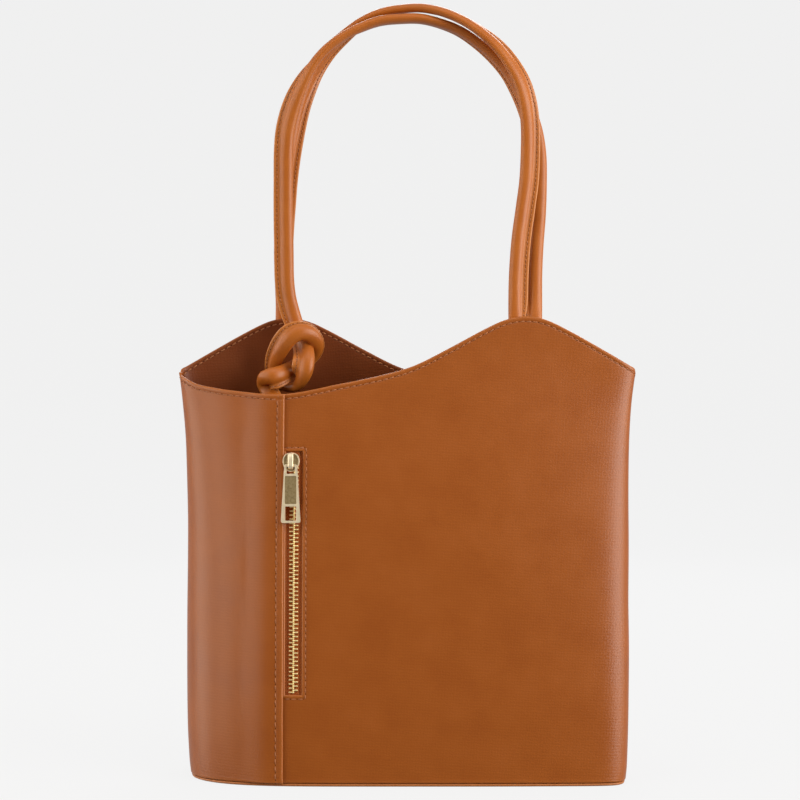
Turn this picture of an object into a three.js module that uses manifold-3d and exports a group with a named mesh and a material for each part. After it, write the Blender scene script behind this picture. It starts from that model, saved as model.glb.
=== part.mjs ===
// Convertible leather backpack, carried by two stitched tube straps that form one tall arch.
// Millimetres. +X is the bag's right as seen from the front, -Y the front, +Z up.
// The origin is the centre of the base, on the floor.
import * as THREE from 'three';
import { mergeVertices } from 'three/addons/utils/BufferGeometryUtils.js';
import Module from 'manifold-3d';

const wasm = await Module();
wasm.setup();

// Body
const topWidth = 310;
const peakHeight = 310.5;
const dipHeight = 258.3;
const baseDepth = 94;
const wall = 2;
const clearance = 0.3;
const basePlate = 2;

// Lap seams
const seamOffset = 81;
const lapWidth = 9;
const lapRamp = 6;

// Zip
const windowInset = 1;
const windowWidth = 11;
const windowLength = 160;
const windowFoot = 60;
const tapeThickness = 0.8;
const tapeMargin = 6;
const chainWidth = 6;
const toothPitch = 2.7;
const toothHeight = 1;
const toothRise = 2.2;
const toothReach = 2.4;
const toothPlay = 0.2;
const beadWidth = 1.1;
const teethInset = 1;

// Slider and pull
const sliderWidth = 11.5;
const sliderLength = 13;
const sliderPlate = 1.1;
const sliderDrift = 1.6;
const sliderCorner = 2.4;
const sliderInset = 1;
const postWidth = 3;
const postCorner = 0.5;
const postLength = 4;
const crownWidth = 4;
const crownLength = 11;
const crownWall = 0.9;
const crownBrow = 1.4;
const crownShoulder = 3.9;
const crownHoleFoot = 1.4;
const crownHoleHead = 2.9;
const pullLength = 38.8;
const pullTopWidth = 8.5;
const pullFootWidth = 12.9;
const pullThickness = 1.6;
const pullBorder = 1.5;
const pullField = 1;
const ringHoleWidth = 5.7;
const ringHoleLength = 4.6;
const ringBar = 1.7;
const footWindowWidth = 7.4;
const footWindowLength = 9.4;
const footCorner = 1.5;
const headCorner = 1.2;
const holeCorner = 0.7;
const barPlay = 0.35;

// Straps
const tubeWidth = 9;
const tubeThickness = 6.2;
const flangeWidth = 4.3;
const flangeThickness = 2;
const flangeTaper = 0.95;
const edgeLeast = 0.4;
const strapEndThickness = 2.6;
const sewnGap = 0.55;
const archRise = 213;
const mouthDepth = 20;
const knotSize = 44;
const knotDrop = 27;
const knotShift = 1;

const halfTop = topWidth / 2;
const halfBase = baseDepth / 2;
const peakShare = 0.516;
const peakOffset = halfTop * peakShare;

// Level sections of the body. up: share of the peak height. width: share of half the top
// width. depth: share of half the base depth. round: corner exponent. skew: how far the two
// ends are set apart front to back, as a share of half the base depth.
const bodySections = [
  { up: 0, width: 0.94, depth: 1, round: 4.2, skew: 0.3 },
  { up: 0.03, width: 0.95, depth: 1, round: 4.1, skew: 0.3 },
  { up: 0.19, width: 0.961, depth: 0.98, round: 3.8, skew: 0.29 },
  { up: 0.39, width: 0.963, depth: 0.9, round: 3.4, skew: 0.27 },
  { up: 0.58, width: 0.964, depth: 0.78, round: 3.05, skew: 0.24 },
  { up: 0.72, width: 0.97, depth: 0.66, round: 2.8, skew: 0.21 },
  { up: 0.81, width: 0.983, depth: 0.57, round: 2.6, skew: 0.19 },
  { up: 0.88, width: 1, depth: 0.5, round: 2.5, skew: 0.17 },
  { up: 1, width: 1.03, depth: 0.4, round: 2.3, skew: 0.15 },
];

// The front rim from the left corner to the right corner. across: share of half the top
// width. rise: share of the way from the dip to the peak. The rear rim is its half turn.
const rimPoints = [
  { across: -1.02, rise: 0.3 },
  { across: -0.997, rise: 0.3 },
  { across: -0.975, rise: 0.215 },
  { across: -0.92, rise: 0.135 },
  { across: -0.87, rise: 0.1 },
  { across: -0.75, rise: 0.045 },
  { across: -0.53, rise: 0 },
  { across: -0.285, rise: 0.13 },
  { across: -0.1, rise: 0.245 },
  { across: 0.035, rise: 0.365 },
  { across: 0.177, rise: 0.574 },
  { across: 0.34, rise: 0.834 },
  { across: 0.43, rise: 0.955 },
  { across: 0.516, rise: 1 },
  { across: 0.6, rise: 0.965 },
  { across: 0.705, rise: 0.82 },
  { across: 0.853, rise: 0.574 },
  { across: 0.975, rise: 0.345 },
  { across: 0.997, rise: 0.3 },
  { across: 1.02, rise: 0.3 },
];

// Columns that the strap tables leave out keep these values.
const plainRow = { edge: 1, girth: 1, flat: 0, seat: 'free' };

// The knotted strap's end and overhand knot, from the sewn end inside the front panel up to
// the leg. across, back, up: shares of the knot size, from the knot's middle. turn: degrees
// from the strap's outer side towards its back, where the stitched edge points. edge: share
// of the stitched edge's width. girth: share of the tube's size. flat: 1 where pressed flat.
const knotRows = [
  { across: -0.3, up: -1.3, turn: 180, flat: 1, seat: 'front' },
  { across: -0.3, up: -1.12, turn: 180, flat: 1, seat: 'front' },
  { across: -0.3, up: -0.97, turn: 180, flat: 1, seat: 'front' },
  { across: -0.3, up: -0.92, turn: 180, flat: 1, seat: 'front' },
  { across: -0.33, back: -0.33, up: -0.74, turn: 180, edge: 0.5, girth: 0.9, flat: 0.4 },
  { across: -0.43, back: -0.03, up: -0.54, turn: 180, edge: 0.3, girth: 0.8 },
  { across: -0.47, back: 0.01, up: -0.39, turn: 180, edge: 0.3, girth: 0.8 },
  { across: -0.4, back: -0.12, up: -0.3, turn: 180, edge: 0.6, girth: 0.9 },
  { across: -0.28, back: -0.17, up: -0.28, turn: 180, edge: 0.8 },
  { across: -0.145, back: -0.15, up: -0.243, turn: 180, edge: 0.6 },
  { across: -0.011, back: -0.05, up: -0.177, turn: 180, edge: 0.3 },
  { across: 0.122, back: 0.08, up: -0.106, turn: 180, edge: 0.2 },
  { across: 0.259, back: 0.136, up: -0.043, turn: 180, edge: 0.2 },
  { across: 0.369, back: 0.105, up: 0.042, turn: 180, edge: 0.3 },
  { across: 0.432, back: 0.011, up: 0.163, turn: 180, edge: 0.4 },
  { across: 0.407, back: -0.08, up: 0.292, turn: 180, edge: 0.6 },
  { across: 0.31, back: -0.15, up: 0.378, turn: 180, edge: 0.8 },
  { across: 0.181, back: -0.195, up: 0.4, turn: 180, edge: 0.9 },
  { across: 0.043, back: -0.2, up: 0.33, turn: 180 },
  { across: -0.074, back: -0.155, up: 0.205, turn: 180 },
  { across: -0.164, back: -0.057, up: 0.061, turn: 180 },
  { across: -0.225, back: 0.07, up: -0.083, turn: 180, edge: 0.7 },
  { across: -0.245, back: 0.155, up: -0.229, turn: 180, edge: 0.4 },
  { across: -0.193, back: 0.19, up: -0.376, turn: 150, edge: 0.3 },
  { across: -0.068, back: 0.17, up: -0.462, turn: 110, edge: 0.3 },
  { across: 0.076, back: 0.068, up: -0.447, turn: 70, edge: 0.3 },
  { across: 0.198, back: -0.07, up: -0.355, turn: 30, edge: 0.6 },
  { across: 0.279, back: -0.15, up: -0.217, turn: 0, edge: 0.9 },
  { across: 0.302, back: -0.15, up: -0.048, turn: 0, edge: 0.9 },
  { across: 0.268, back: -0.057, up: 0.123, turn: 0, edge: 0.6 },
  { across: 0.193, back: 0.055, up: 0.296, turn: 0, edge: 0.5 },
  { across: 0.122, back: 0.1, up: 0.468, turn: 0, edge: 0.7 },
];

// The knotted strap's arch. across: share of the peaks' distance from the middle. back:
// share of the mouth depth. up: share of the arch rise above the peaks.
const frontArchRows = [
  { across: -0.959, back: 0.22, up: 0.015, turn: 0 },
  { across: -0.993, back: 0.2, up: 0.066, turn: 0 },
  { across: -1.009, back: 0.15, up: 0.12, turn: 0 },
  { across: -1.013, back: 0.1, up: 0.216, turn: 0 },
  { across: -1.017, back: 0.05, up: 0.327, turn: 0 },
  { across: -1.016, back: 0, up: 0.438, turn: 0 },
  { across: -1.013, back: -0.05, up: 0.534, turn: 2 },
  { across: -0.998, back: -0.1, up: 0.597, turn: 6 },
  { across: -0.959, back: -0.15, up: 0.66, turn: 15 },
  { across: -0.9, back: -0.2, up: 0.723, turn: 35 },
  { across: -0.822, back: -0.25, up: 0.783, turn: 60 },
  { across: -0.712, back: -0.275, up: 0.838, turn: 80 },
  { across: -0.559, back: -0.275, up: 0.886, turn: 92 },
  { across: -0.39, back: -0.25, up: 0.92, turn: 98 },
  { across: -0.221, back: -0.225, up: 0.943, turn: 100 },
  { across: -0.051, back: -0.15, up: 0.951, turn: 100 },
  { across: 0.119, back: -0.05, up: 0.953, turn: 100 },
  { across: 0.289, back: 0.085, up: 0.941, turn: 100 },
  { across: 0.46, back: 0.19, up: 0.918, turn: 105 },
  { across: 0.682, back: 0.26, up: 0.86, turn: 110 },
  { across: 0.858, back: 0.3, up: 0.795, turn: 120 },
  { across: 0.965, back: 0.315, up: 0.733, turn: 130 },
  { across: 1.05, back: 0.3, up: 0.669, turn: 145 },
  { across: 1.109, back: 0.25, up: 0.601, turn: 160 },
  { across: 1.14, back: 0.175, up: 0.52, turn: 172 },
  { across: 1.142, back: 0.075, up: 0.423, turn: 178 },
  { across: 1.132, back: -0.025, up: 0.326, turn: 180 },
  { across: 1.111, back: -0.125, up: 0.23, turn: 180 },
  { across: 1.098, back: -0.225, up: 0.134, turn: 180 },
  { across: 1.095, back: -0.37, up: 0.047, turn: 180 },
  { across: 1.091, back: -0.56, up: -0.01, turn: 180, edge: 0.6, flat: 0.3 },
  { across: 1.087, up: -0.07, turn: 180, edge: 0, flat: 1, seat: 'front' },
  { across: 1.087, up: -0.09, turn: 180, edge: 0, flat: 1, seat: 'front' },
  { across: 1.086, up: -0.13, turn: 180, edge: 0, flat: 1, seat: 'front' },
  { across: 1.086, up: -0.18, turn: 180, edge: 0, flat: 1, seat: 'front' },
];

// The plain strap, from its sewn end outside the rear panel, over the arch and down to its
// sewn end inside the front panel. Columns as in the table above.
const rearArchRows = [
  { across: -1.071, up: -0.2, turn: 180, flat: 1, seat: 'rear' },
  { across: -1.072, up: -0.14, turn: 180, flat: 1, seat: 'rear' },
  { across: -1.073, up: -0.1, turn: 180, flat: 1, seat: 'rear' },
  { across: -1.073, up: -0.085, turn: 180, flat: 1, seat: 'rear' },
  { across: -1.073, back: 1.25, up: -0.04, turn: 180, flat: 0.5 },
  { across: -1.073, back: 1.33, up: 0, turn: 180, flat: 0.2 },
  { across: -1.071, back: 1.27, up: 0.05, turn: 180 },
  { across: -1.077, back: 1.12, up: 0.125, turn: 180 },
  { across: -1.081, back: 0.93, up: 0.221, turn: 180 },
  { across: -1.069, back: 0.8, up: 0.301, turn: 180 },
  { across: -1.055, back: 0.72, up: 0.365, turn: 180 },
  { across: -1.037, back: 0.64, up: 0.444, turn: 180 },
  { across: -1.002, back: 0.56, up: 0.54, turn: 178 },
  { across: -0.933, back: 0.5, up: 0.669, turn: 170 },
  { across: -0.877, back: 0.475, up: 0.732, turn: 160 },
  { across: -0.796, back: 0.465, up: 0.797, turn: 145 },
  { across: -0.676, back: 0.46, up: 0.858, turn: 130 },
  { across: -0.522, back: 0.45, up: 0.91, turn: 115 },
  { across: -0.376, back: 0.4, up: 0.95, turn: 105 },
  { across: -0.205, back: 0.27, up: 0.977, turn: 95 },
  { across: -0.034, back: 0.11, up: 0.986, turn: 90 },
  { across: 0.119, back: -0.025, up: 0.987, turn: 85 },
  { across: 0.288, back: -0.16, up: 0.974, turn: 80 },
  { across: 0.457, back: -0.25, up: 0.948, turn: 70 },
  { across: 0.609, back: -0.32, up: 0.912, turn: 60 },
  { across: 0.794, back: -0.38, up: 0.847, turn: 45 },
  { across: 0.946, back: -0.4, up: 0.755, turn: 30 },
  { across: 1.001, back: -0.375, up: 0.686, turn: 20 },
  { across: 1.025, back: -0.34, up: 0.607, turn: 10 },
  { across: 1.026, back: -0.325, up: 0.53, turn: 5 },
  { across: 1.014, back: -0.34, up: 0.435, turn: 0 },
  { across: 0.984, back: -0.37, up: 0.349, turn: 0 },
  { across: 0.946, back: -0.42, up: 0.244, turn: 0 },
  { across: 0.924, back: -0.49, up: 0.132, turn: 0 },
  { across: 0.918, back: -0.575, up: 0.046, turn: 0 },
  { across: 0.917, back: -0.675, up: -0.011, turn: 0, edge: 0.6, flat: 0.3 },
  { across: 0.915, up: -0.07, turn: 0, edge: 0, flat: 1, seat: 'front' },
  { across: 0.915, up: -0.09, turn: 0, edge: 0, flat: 1, seat: 'front' },
  { across: 0.914, up: -0.13, turn: 0, edge: 0, flat: 1, seat: 'front' },
  { across: 0.914, up: -0.18, turn: 0, edge: 0, flat: 1, seat: 'front' },
];

const lerp = THREE.MathUtils.lerp;
const signedPower = (value, power) => Math.sign(value) * Math.abs(value) ** power;

// Reads a column of a table at any key with a smooth curve through its rows.
function readTable(rows, key, column, at) {
  const last = rows.length - 1;
  const inside = THREE.MathUtils.clamp(at, rows[0][key], rows[last][key]);
  let i = 0;
  while (i < last - 1 && rows[i + 1][key] < inside) i += 1;
  const slope = (j) => {
    const before = rows[Math.max(j - 1, 0)];
    const after = rows[Math.min(j + 1, last)];
    return (after[column] - before[column]) / (after[key] - before[key]);
  };
  const span = rows[i + 1][key] - rows[i][key];
  const s = (inside - rows[i][key]) / span;
  const h1 = (1 + 2 * s) * (1 - s) ** 2;
  const h2 = s * (1 - s) ** 2 * span;
  const h3 = s ** 2 * (3 - 2 * s);
  const h4 = s ** 2 * (s - 1) * span;
  return h1 * rows[i][column] + h2 * slope(i) + h3 * rows[i + 1][column] + h4 * slope(i + 1);
}

// The body's level section at a height.
function sectionAt(z) {
  const up = z / peakHeight;
  return {
    half: halfTop * readTable(bodySections, 'up', 'width', up),
    depth: halfBase * readTable(bodySections, 'up', 'depth', up),
    round: readTable(bodySections, 'up', 'round', up),
    skew: halfBase * readTable(bodySections, 'up', 'skew', up),
  };
}

// The angle round a section where its front face has the place x.
function frontAngle(x, z) {
  const section = sectionAt(z);
  const share = THREE.MathUtils.clamp(x / section.half, -1, 1);
  return Math.acos(signedPower(share, section.round / 2));
}

// A plan point of the section: angle 0 is the right end, a quarter turn the front.
function planPoint(section, angle) {
  const share = signedPower(Math.cos(angle), 2 / section.round);
  const shift = -section.skew * Math.sign(share) * Math.abs(share) ** 6;
  const y = -section.depth * signedPower(Math.sin(angle), 2 / section.round) + shift;
  return new THREE.Vector2(section.half * share, y);
}

// A point on the body at an angle and height, set off outwards from its outer face.
function onBody(angle, z, offset) {
  const section = sectionAt(z);
  const step = 0.03;
  const ahead = planPoint(section, angle + step);
  const behind = planPoint(section, angle - step);
  const along = ahead.sub(behind).normalize();
  const point = planPoint(section, angle);
  return new THREE.Vector3(point.x - along.y * offset, point.y + along.x * offset, z);
}

function onFront(x, z, offset) {
  return onBody(frontAngle(x, z), z, offset);
}

// The rim's height over the front face, or over the rear face.
function rimHeight(x, isFront) {
  const across = (isFront ? x : -x) / halfTop;
  return lerp(dipHeight, peakHeight, readTable(rimPoints, 'across', 'rise', across));
}

// Joins an outer and an inner grid of points into one closed shell. Cells named open are
// left out and their edges are walled.
function shell(outer, inner, isOpen) {
  const columns = outer.length;
  const rows = outer[0].length;
  const positions = [];
  const triangle = (...points) => points.forEach((p) => positions.push(p.x, p.y, p.z));
  const isCell = (i, j) => i >= 0 && j >= 0 && i < columns - 1 && j < rows - 1 && !isOpen(i, j);
  const face = (grid, i, j, flip) => {
    const corners = [grid[i][j], grid[i + 1][j], grid[i + 1][j + 1], grid[i][j + 1]];
    const [a, b, c, d] = flip ? corners.reverse() : corners;
    triangle(a, b, c);
    triangle(a, c, d);
  };
  const edge = (i, j, k, l) => {
    triangle(outer[k][l], outer[i][j], inner[i][j]);
    triangle(outer[k][l], inner[i][j], inner[k][l]);
  };
  for (let i = 0; i < columns - 1; i += 1) {
    for (let j = 0; j < rows - 1; j += 1) {
      if (isOpen(i, j)) continue;
      face(outer, i, j, false);
      face(inner, i, j, true);
      if (!isCell(i, j - 1)) edge(i, j, i + 1, j);
      if (!isCell(i + 1, j)) edge(i + 1, j, i + 1, j + 1);
      if (!isCell(i, j + 1)) edge(i + 1, j + 1, i, j + 1);
      if (!isCell(i - 1, j)) edge(i, j + 1, i, j);
    }
  }
  return fromPositions(positions);
}

function fromPositions(positions) {
  const geometry = new THREE.BufferGeometry();
  geometry.setAttribute('position', new THREE.Float32BufferAttribute(positions, 3));
  geometry.computeVertexNormals();
  return geometry;
}

const windowLeft = -seamOffset + windowInset;
const windowRight = windowLeft + windowWidth;
const windowTop = windowFoot + windowLength;
const panelFoot = basePlate + clearance;
const underEdge = seamOffset + lapWidth;
const rampEnd = underEdge + clearance;
const rampStart = rampEnd + lapRamp;
const lapLift = wall + clearance;
const endShare = 0.8;
const endSteps = 10;
const faceShares = [-0.33, -0.17, 0, 0.13, 0.26, 0.39, 0.52, 0.66];
const rearShares = [0.7];

// The panel's columns in order, from its under edge on one face, round the end of the bag,
// to its turned edge on the other face.
function panelColumns() {
  const xEnd = endShare * halfTop;
  const columns = [-underEdge, -seamOffset, windowLeft, windowRight].map((x) => ({ x }));
  faceShares.forEach((share) => columns.push({ x: share * halfTop }));
  for (let k = 0; k <= endSteps; k += 1) columns.push({ x: xEnd, round: k / endSteps });
  rearShares.forEach((share) => columns.push({ x: share * halfTop, round: 1 }));
  columns.push({ x: rampStart, round: 1 });
  columns.push({ x: rampEnd, round: 1, lift: lapLift });
  columns.push({ x: seamOffset, round: 1, lift: lapLift });
  return columns;
}

// The angle of a column at a height: round goes from the front face to the rear face.
function columnAngle(column, z) {
  const angle = frontAngle(column.x, z);
  return angle * (1 - 2 * (column.round ?? 0));
}

// Heights of the rows: level up to the window's head, then fanned out to the rim.
const levelShares = [0.06, 0.15];
const middleShares = [0.16, 0.33, 0.5, 0.67, 0.84];
const fanSteps = 4;

function rowHeight(row, column) {
  const levels = [panelFoot];
  levelShares.forEach((share) => levels.push(windowTop * share));
  levels.push(windowFoot);
  middleShares.forEach((share) => levels.push(lerp(windowFoot, windowTop, share)));
  levels.push(windowTop);
  if (row < levels.length) return levels[row];
  let rim = dipHeight;
  for (let pass = 0; pass < 3; pass += 1) {
    const angle = columnAngle(column, rim);
    rim = rimHeight(planPoint(sectionAt(rim), angle).x, angle > 0);
  }
  return lerp(windowTop, rim, (row - levels.length + 1) / fanSteps);
}

const panelRows = levelShares.length + middleShares.length + fanSteps + 3;

function panelGrid(offset) {
  return panelColumns().map((column) => {
    const lift = column.lift ?? 0;
    return Array.from({ length: panelRows }, (unused, row) => {
      const z = rowHeight(row, column);
      return onBody(columnAngle(column, z), z, offset + lift);
    });
  });
}

// The window is the cell column after the seam, between the foot and head rows.
const windowColumn = 2;
const windowFootRow = levelShares.length + 1;
const windowTopRow = windowFootRow + middleShares.length + 1;

function frontPanel() {
  const isWindow = (i, j) => i === windowColumn && j >= windowFootRow && j < windowTopRow;
  return shell(panelGrid(0), panelGrid(-wall), isWindow);
}

// The same panel without the window, turned half round the bag.
function rearPanel() {
  return shell(panelGrid(0), panelGrid(-wall), () => false).rotateZ(Math.PI);
}

function basePanel() {
  const section = sectionAt(0);
  const steps = 56;
  const outline = [];
  for (let k = 0; k < steps; k += 1) {
    const point = planPoint(section, -2 * Math.PI * k / steps);
    outline.push(point);
  }
  const shape = new THREE.Shape(outline);
  return new THREE.ExtrudeGeometry(shape, { depth: basePlate, bevelEnabled: false });
}

const chainCentre = windowLeft + windowWidth / 2;
const tapeFace = -wall - clearance;
const sliderHead = windowTop - sliderInset;
const hingeHeight = sliderHead - crownLength + crownWall + ringBar / 2 + barPlay;
const teethHead = sliderHead - sliderLength / 2;

function zipTape() {
  const left = windowLeft - tapeMargin;
  const width = windowWidth + 2 * tapeMargin;
  const across = [0, 0.25, 0.5, 0.75, 1].map((share) => left + share * width);
  const steps = 9;
  const foot = windowFoot - tapeMargin / 2;
  const head = windowTop + tapeMargin / 2;
  const grid = (offset) => across.map((x) => Array.from(
    { length: steps + 1 },
    (unused, k) => onFront(x, lerp(foot, head, k / steps), offset),
  ));
  return shell(grid(tapeFace), grid(tapeFace - tapeThickness), () => false);
}

// One side of the closed teeth as a comb on its bead. side is -1 left, 1 right. The teeth
// reach past the chain's middle and alternate with those of the other side.
function zipTeeth(side) {
  const beadOuter = side * chainWidth / 2;
  const beadInner = beadOuter - side * beadWidth;
  const tip = beadInner - side * toothReach;
  const columns = [beadOuter, beadInner, tip].sort((a, b) => a - b);
  const foot = windowFoot + teethInset;
  const start = foot + (side > 0 ? toothPitch / 2 : 0) + toothPlay;
  const count = Math.floor((teethHead - start) / toothPitch);
  const heights = [foot];
  for (let k = 0; k < count; k += 1) {
    heights.push(start + k * toothPitch, start + k * toothPitch + toothHeight);
  }
  heights.push(teethHead);
  const grid = (offset) => columns.map((u) => heights.map(
    (z) => onFront(chainCentre + u, z, offset),
  ));
  const back = tapeFace + clearance;
  const toothColumn = side < 0 ? 1 : 0;
  const isGap = (i, j) => i === toothColumn && j % 2 === 0;
  return shell(grid(back + toothRise), grid(back), isGap);
}

// The slider's frame on the front face: x across, -y outwards, z up the slope of the face.
const sliderCentre = chainCentre - sliderDrift;
function faceFrame(x, headZ, footZ) {
  const head = onFront(x, headZ, 0);
  const up = head.clone().sub(onFront(x, footZ, 0)).normalize();
  const right = onFront(x + 1, headZ, 0).sub(onFront(x - 1, headZ, 0));
  right.addScaledVector(up, -right.dot(up)).normalize();
  const inward = new THREE.Vector3().crossVectors(up, right);
  const turn = new THREE.Matrix4().makeBasis(right, inward, up);
  return { head, quaternion: new THREE.Quaternion().setFromRotationMatrix(turn) };
}

// A flat plate of a shape drawn across and up, between two depths in front of the face.
function plate(shape, from, to) {
  const geometry = new THREE.ExtrudeGeometry(shape, {
    depth: to - from, bevelEnabled: false, curveSegments: 4,
  });
  return geometry.translate(0, 0, from).rotateX(Math.PI / 2);
}

function roundedBox(width, foot, head, radius, Type = THREE.Shape) {
  const shape = new Type();
  const w = width / 2;
  shape.moveTo(-w + radius, foot);
  shape.lineTo(w - radius, foot);
  shape.absarc(w - radius, foot + radius, radius, -Math.PI / 2, 0);
  shape.absarc(w - radius, head - radius, radius, 0, Math.PI / 2);
  shape.absarc(-w + radius, head - radius, radius, Math.PI / 2, Math.PI);
  shape.absarc(-w + radius, foot + radius, radius, Math.PI, 1.5 * Math.PI);
  return shape;
}

function toManifold(geometry) {
  const bare = geometry.clone();
  bare.deleteAttribute('normal');
  bare.deleteAttribute('uv');
  const merged = mergeVertices(bare, 1e-4);
  return new wasm.Manifold(new wasm.Mesh({
    numProp: 3,
    vertProperties: new Float32Array(merged.attributes.position.array),
    triVerts: new Uint32Array(merged.index.array),
  }));
}

function fromManifold(solid) {
  const mesh = solid.getMesh();
  const positions = [];
  for (const v of mesh.triVerts) {
    for (let k = 0; k < 3; k += 1) positions.push(mesh.vertProperties[v * mesh.numProp + k]);
  }
  return fromPositions(positions);
}

function union(geometries) {
  return fromManifold(geometries.map(toManifold).reduce((sum, part) => sum.add(part)));
}

// Depths in front of the leather: the slider's plate clears the turned edge of the lap.
const plateBack = lapLift + clearance;
const plateFront = plateBack + sliderPlate;
const barRadius = ringBar / 2;
const hingeDepth = plateFront + barPlay + barRadius;
const crownInner = hingeDepth + barRadius + barPlay;

// The slider in its own frame, with z measured from its head.
function zipSlider() {
  const overlap = 0.2;
  const outline = roundedBox(sliderWidth, -sliderLength, 0, sliderCorner);
  const body = plate(outline, plateBack, plateFront);
  const postHead = -sliderInset;
  const postShape = roundedBox(postWidth, postHead - postLength, postHead, postCorner);
  const post = plate(postShape, tapeFace + clearance, plateBack + overlap);
  post.translate(sliderDrift, 0, 0);
  const foot = plateFront - overlap;
  const top = crownInner + crownWall;
  const arch = new THREE.Shape();
  arch.moveTo(-crownLength, foot);
  arch.lineTo(-crownLength + crownWall, foot);
  arch.lineTo(-crownLength + crownWall, crownInner);
  arch.lineTo(-crownHoleHead, crownInner);
  arch.lineTo(-crownHoleFoot, foot);
  arch.lineTo(0, foot);
  arch.lineTo(0, plateFront + crownBrow);
  arch.quadraticCurveTo(-crownWall, top, -crownShoulder, top);
  arch.lineTo(-crownLength + crownWall, top);
  arch.quadraticCurveTo(-crownLength, top, -crownLength, crownInner);
  const crown = new THREE.ExtrudeGeometry(arch, {
    depth: crownWidth, bevelEnabled: false, curveSegments: 4,
  });
  crown.translate(0, 0, -crownWidth / 2);
  const turn = new THREE.Matrix4().makeBasis(
    new THREE.Vector3(0, 0, 1), new THREE.Vector3(0, -1, 0), new THREE.Vector3(1, 0, 0),
  );
  return union([body, post, crown.applyMatrix4(turn)]);
}

// The pull's tapered outline with rounded corners.
function pullOutline(foot, head) {
  const topHalf = pullTopWidth / 2;
  const footHalf = pullFootWidth / 2;
  const shape = new THREE.Shape();
  shape.moveTo(-footHalf + footCorner, foot);
  shape.lineTo(footHalf - footCorner, foot);
  shape.quadraticCurveTo(footHalf, foot, footHalf, foot + footCorner);
  shape.lineTo(topHalf, head - headCorner);
  shape.quadraticCurveTo(topHalf, head, topHalf - headCorner, head);
  shape.lineTo(-topHalf + headCorner, head);
  shape.quadraticCurveTo(-topHalf, head, -topHalf, head - headCorner);
  shape.lineTo(-footHalf, foot + footCorner);
  shape.quadraticCurveTo(-footHalf, foot, -footHalf + footCorner, foot);
  return shape;
}

// The pull in its own frame, with its bar on the hinge axis and a recessed field between
// the ring hole and the foot window.
function zipPull() {
  const head = ringBar / 2;
  const foot = head - pullLength;
  const half = pullThickness / 2;
  const ringFoot = -ringBar / 2 - ringHoleLength;
  const windowLow = foot + pullBorder;
  const windowHigh = windowLow + footWindowLength;
  const frame = pullOutline(foot, head);
  frame.holes.push(
    roundedBox(ringHoleWidth, ringFoot, -ringBar / 2, holeCorner, THREE.Path),
    roundedBox(footWindowWidth, windowLow, windowHigh, holeCorner, THREE.Path),
  );
  const fieldFoot = windowHigh + pullBorder;
  const fieldHead = ringFoot - pullBorder;
  const fieldWidth = (pullTopWidth + pullFootWidth) / 2 - 2 * pullBorder;
  const recess = roundedBox(fieldWidth, fieldFoot, fieldHead, holeCorner);
  const body = toManifold(plate(frame, -half, half));
  const cut = toManifold(plate(recess, pullField / 2, pullThickness));
  return fromManifold(body.subtract(cut));
}

// The strap's cross-section: an oval tube with a stitched edge on one side, pressed towards
// a flat band where flat is 1. Points are given as {side, thick}.
const tubeAngles = [28, 62, 95, 130, 165];
function strapSection(row) {
  const flatHalf = strapEndThickness / 2;
  const tubeHalf = row.girth * tubeWidth / 2;
  const thickHalf = lerp(row.girth * tubeThickness / 2, flatHalf, row.flat);
  const edgeHalf = lerp(flangeThickness / 2, flatHalf, row.flat) * flangeTaper;
  const tip = tubeHalf + Math.max(flangeWidth * row.edge, edgeLeast);
  const upper = [{ side: tip, thick: edgeHalf }];
  tubeAngles.forEach((degrees) => {
    const angle = THREE.MathUtils.degToRad(degrees);
    const thick = lerp(thickHalf * Math.sin(angle), flatHalf, row.flat);
    upper.push({ side: tubeHalf * Math.cos(angle), thick });
  });
  const lower = upper.map(({ side, thick }) => ({ side, thick: -thick })).reverse();
  return [...upper, ...lower];
}

// Where a sewn end lies: half its thickness and the sewn gap off the wall that carries it.
function seatedBack(row, x, z) {
  const gap = sewnGap + strapEndThickness / 2;
  if (row.seat === 'front') return onFront(x, z, -wall - gap).y;
  return -onFront(-x, z, gap).y;
}

// The turn of a sewn end that lays it along its wall, next to the turn of its row. The end
// runs up at a strap's start and down at its finish.
function seatedTurn(row, x, z, isStart) {
  const facing = row.seat === 'front' ? x : -x;
  const slope = (onFront(facing + 1, z, 0).y - onFront(facing - 1, z, 0).y) / 2;
  const out = isStart ? -1 : 1;
  const sideX = out * Math.sign(Math.cos(THREE.MathUtils.degToRad(row.turn)));
  const turn = THREE.MathUtils.radToDeg(Math.atan2(sideX * slope, sideX * out));
  return turn - 360 * Math.round((turn - row.turn) / 360);
}

// A strap lofted along its rows, with steps of about the given length.
function strap(rows, stepLength) {
  const points = rows.map((row) => row.point);
  const curve = new THREE.CatmullRomCurve3(points, false, 'centripetal');
  const spans = rows.length - 1;
  const rings = [];
  for (let i = 0; i < spans; i += 1) {
    const steps = Math.max(1, Math.round(points[i].distanceTo(points[i + 1]) / stepLength));
    const extra = i === spans - 1 ? 1 : 0;
    for (let k = 0; k < steps + extra; k += 1) {
      const share = k / steps;
      const mix = (column) => lerp(rows[i][column], rows[i + 1][column], share);
      const row = { edge: mix('edge'), girth: mix('girth'), flat: mix('flat') };
      const at = Math.min((i + share) / spans, 1);
      rings.push(strapRing(curve, at, THREE.MathUtils.degToRad(mix('turn')), strapSection(row)));
    }
  }
  return loft(rings);
}

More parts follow.
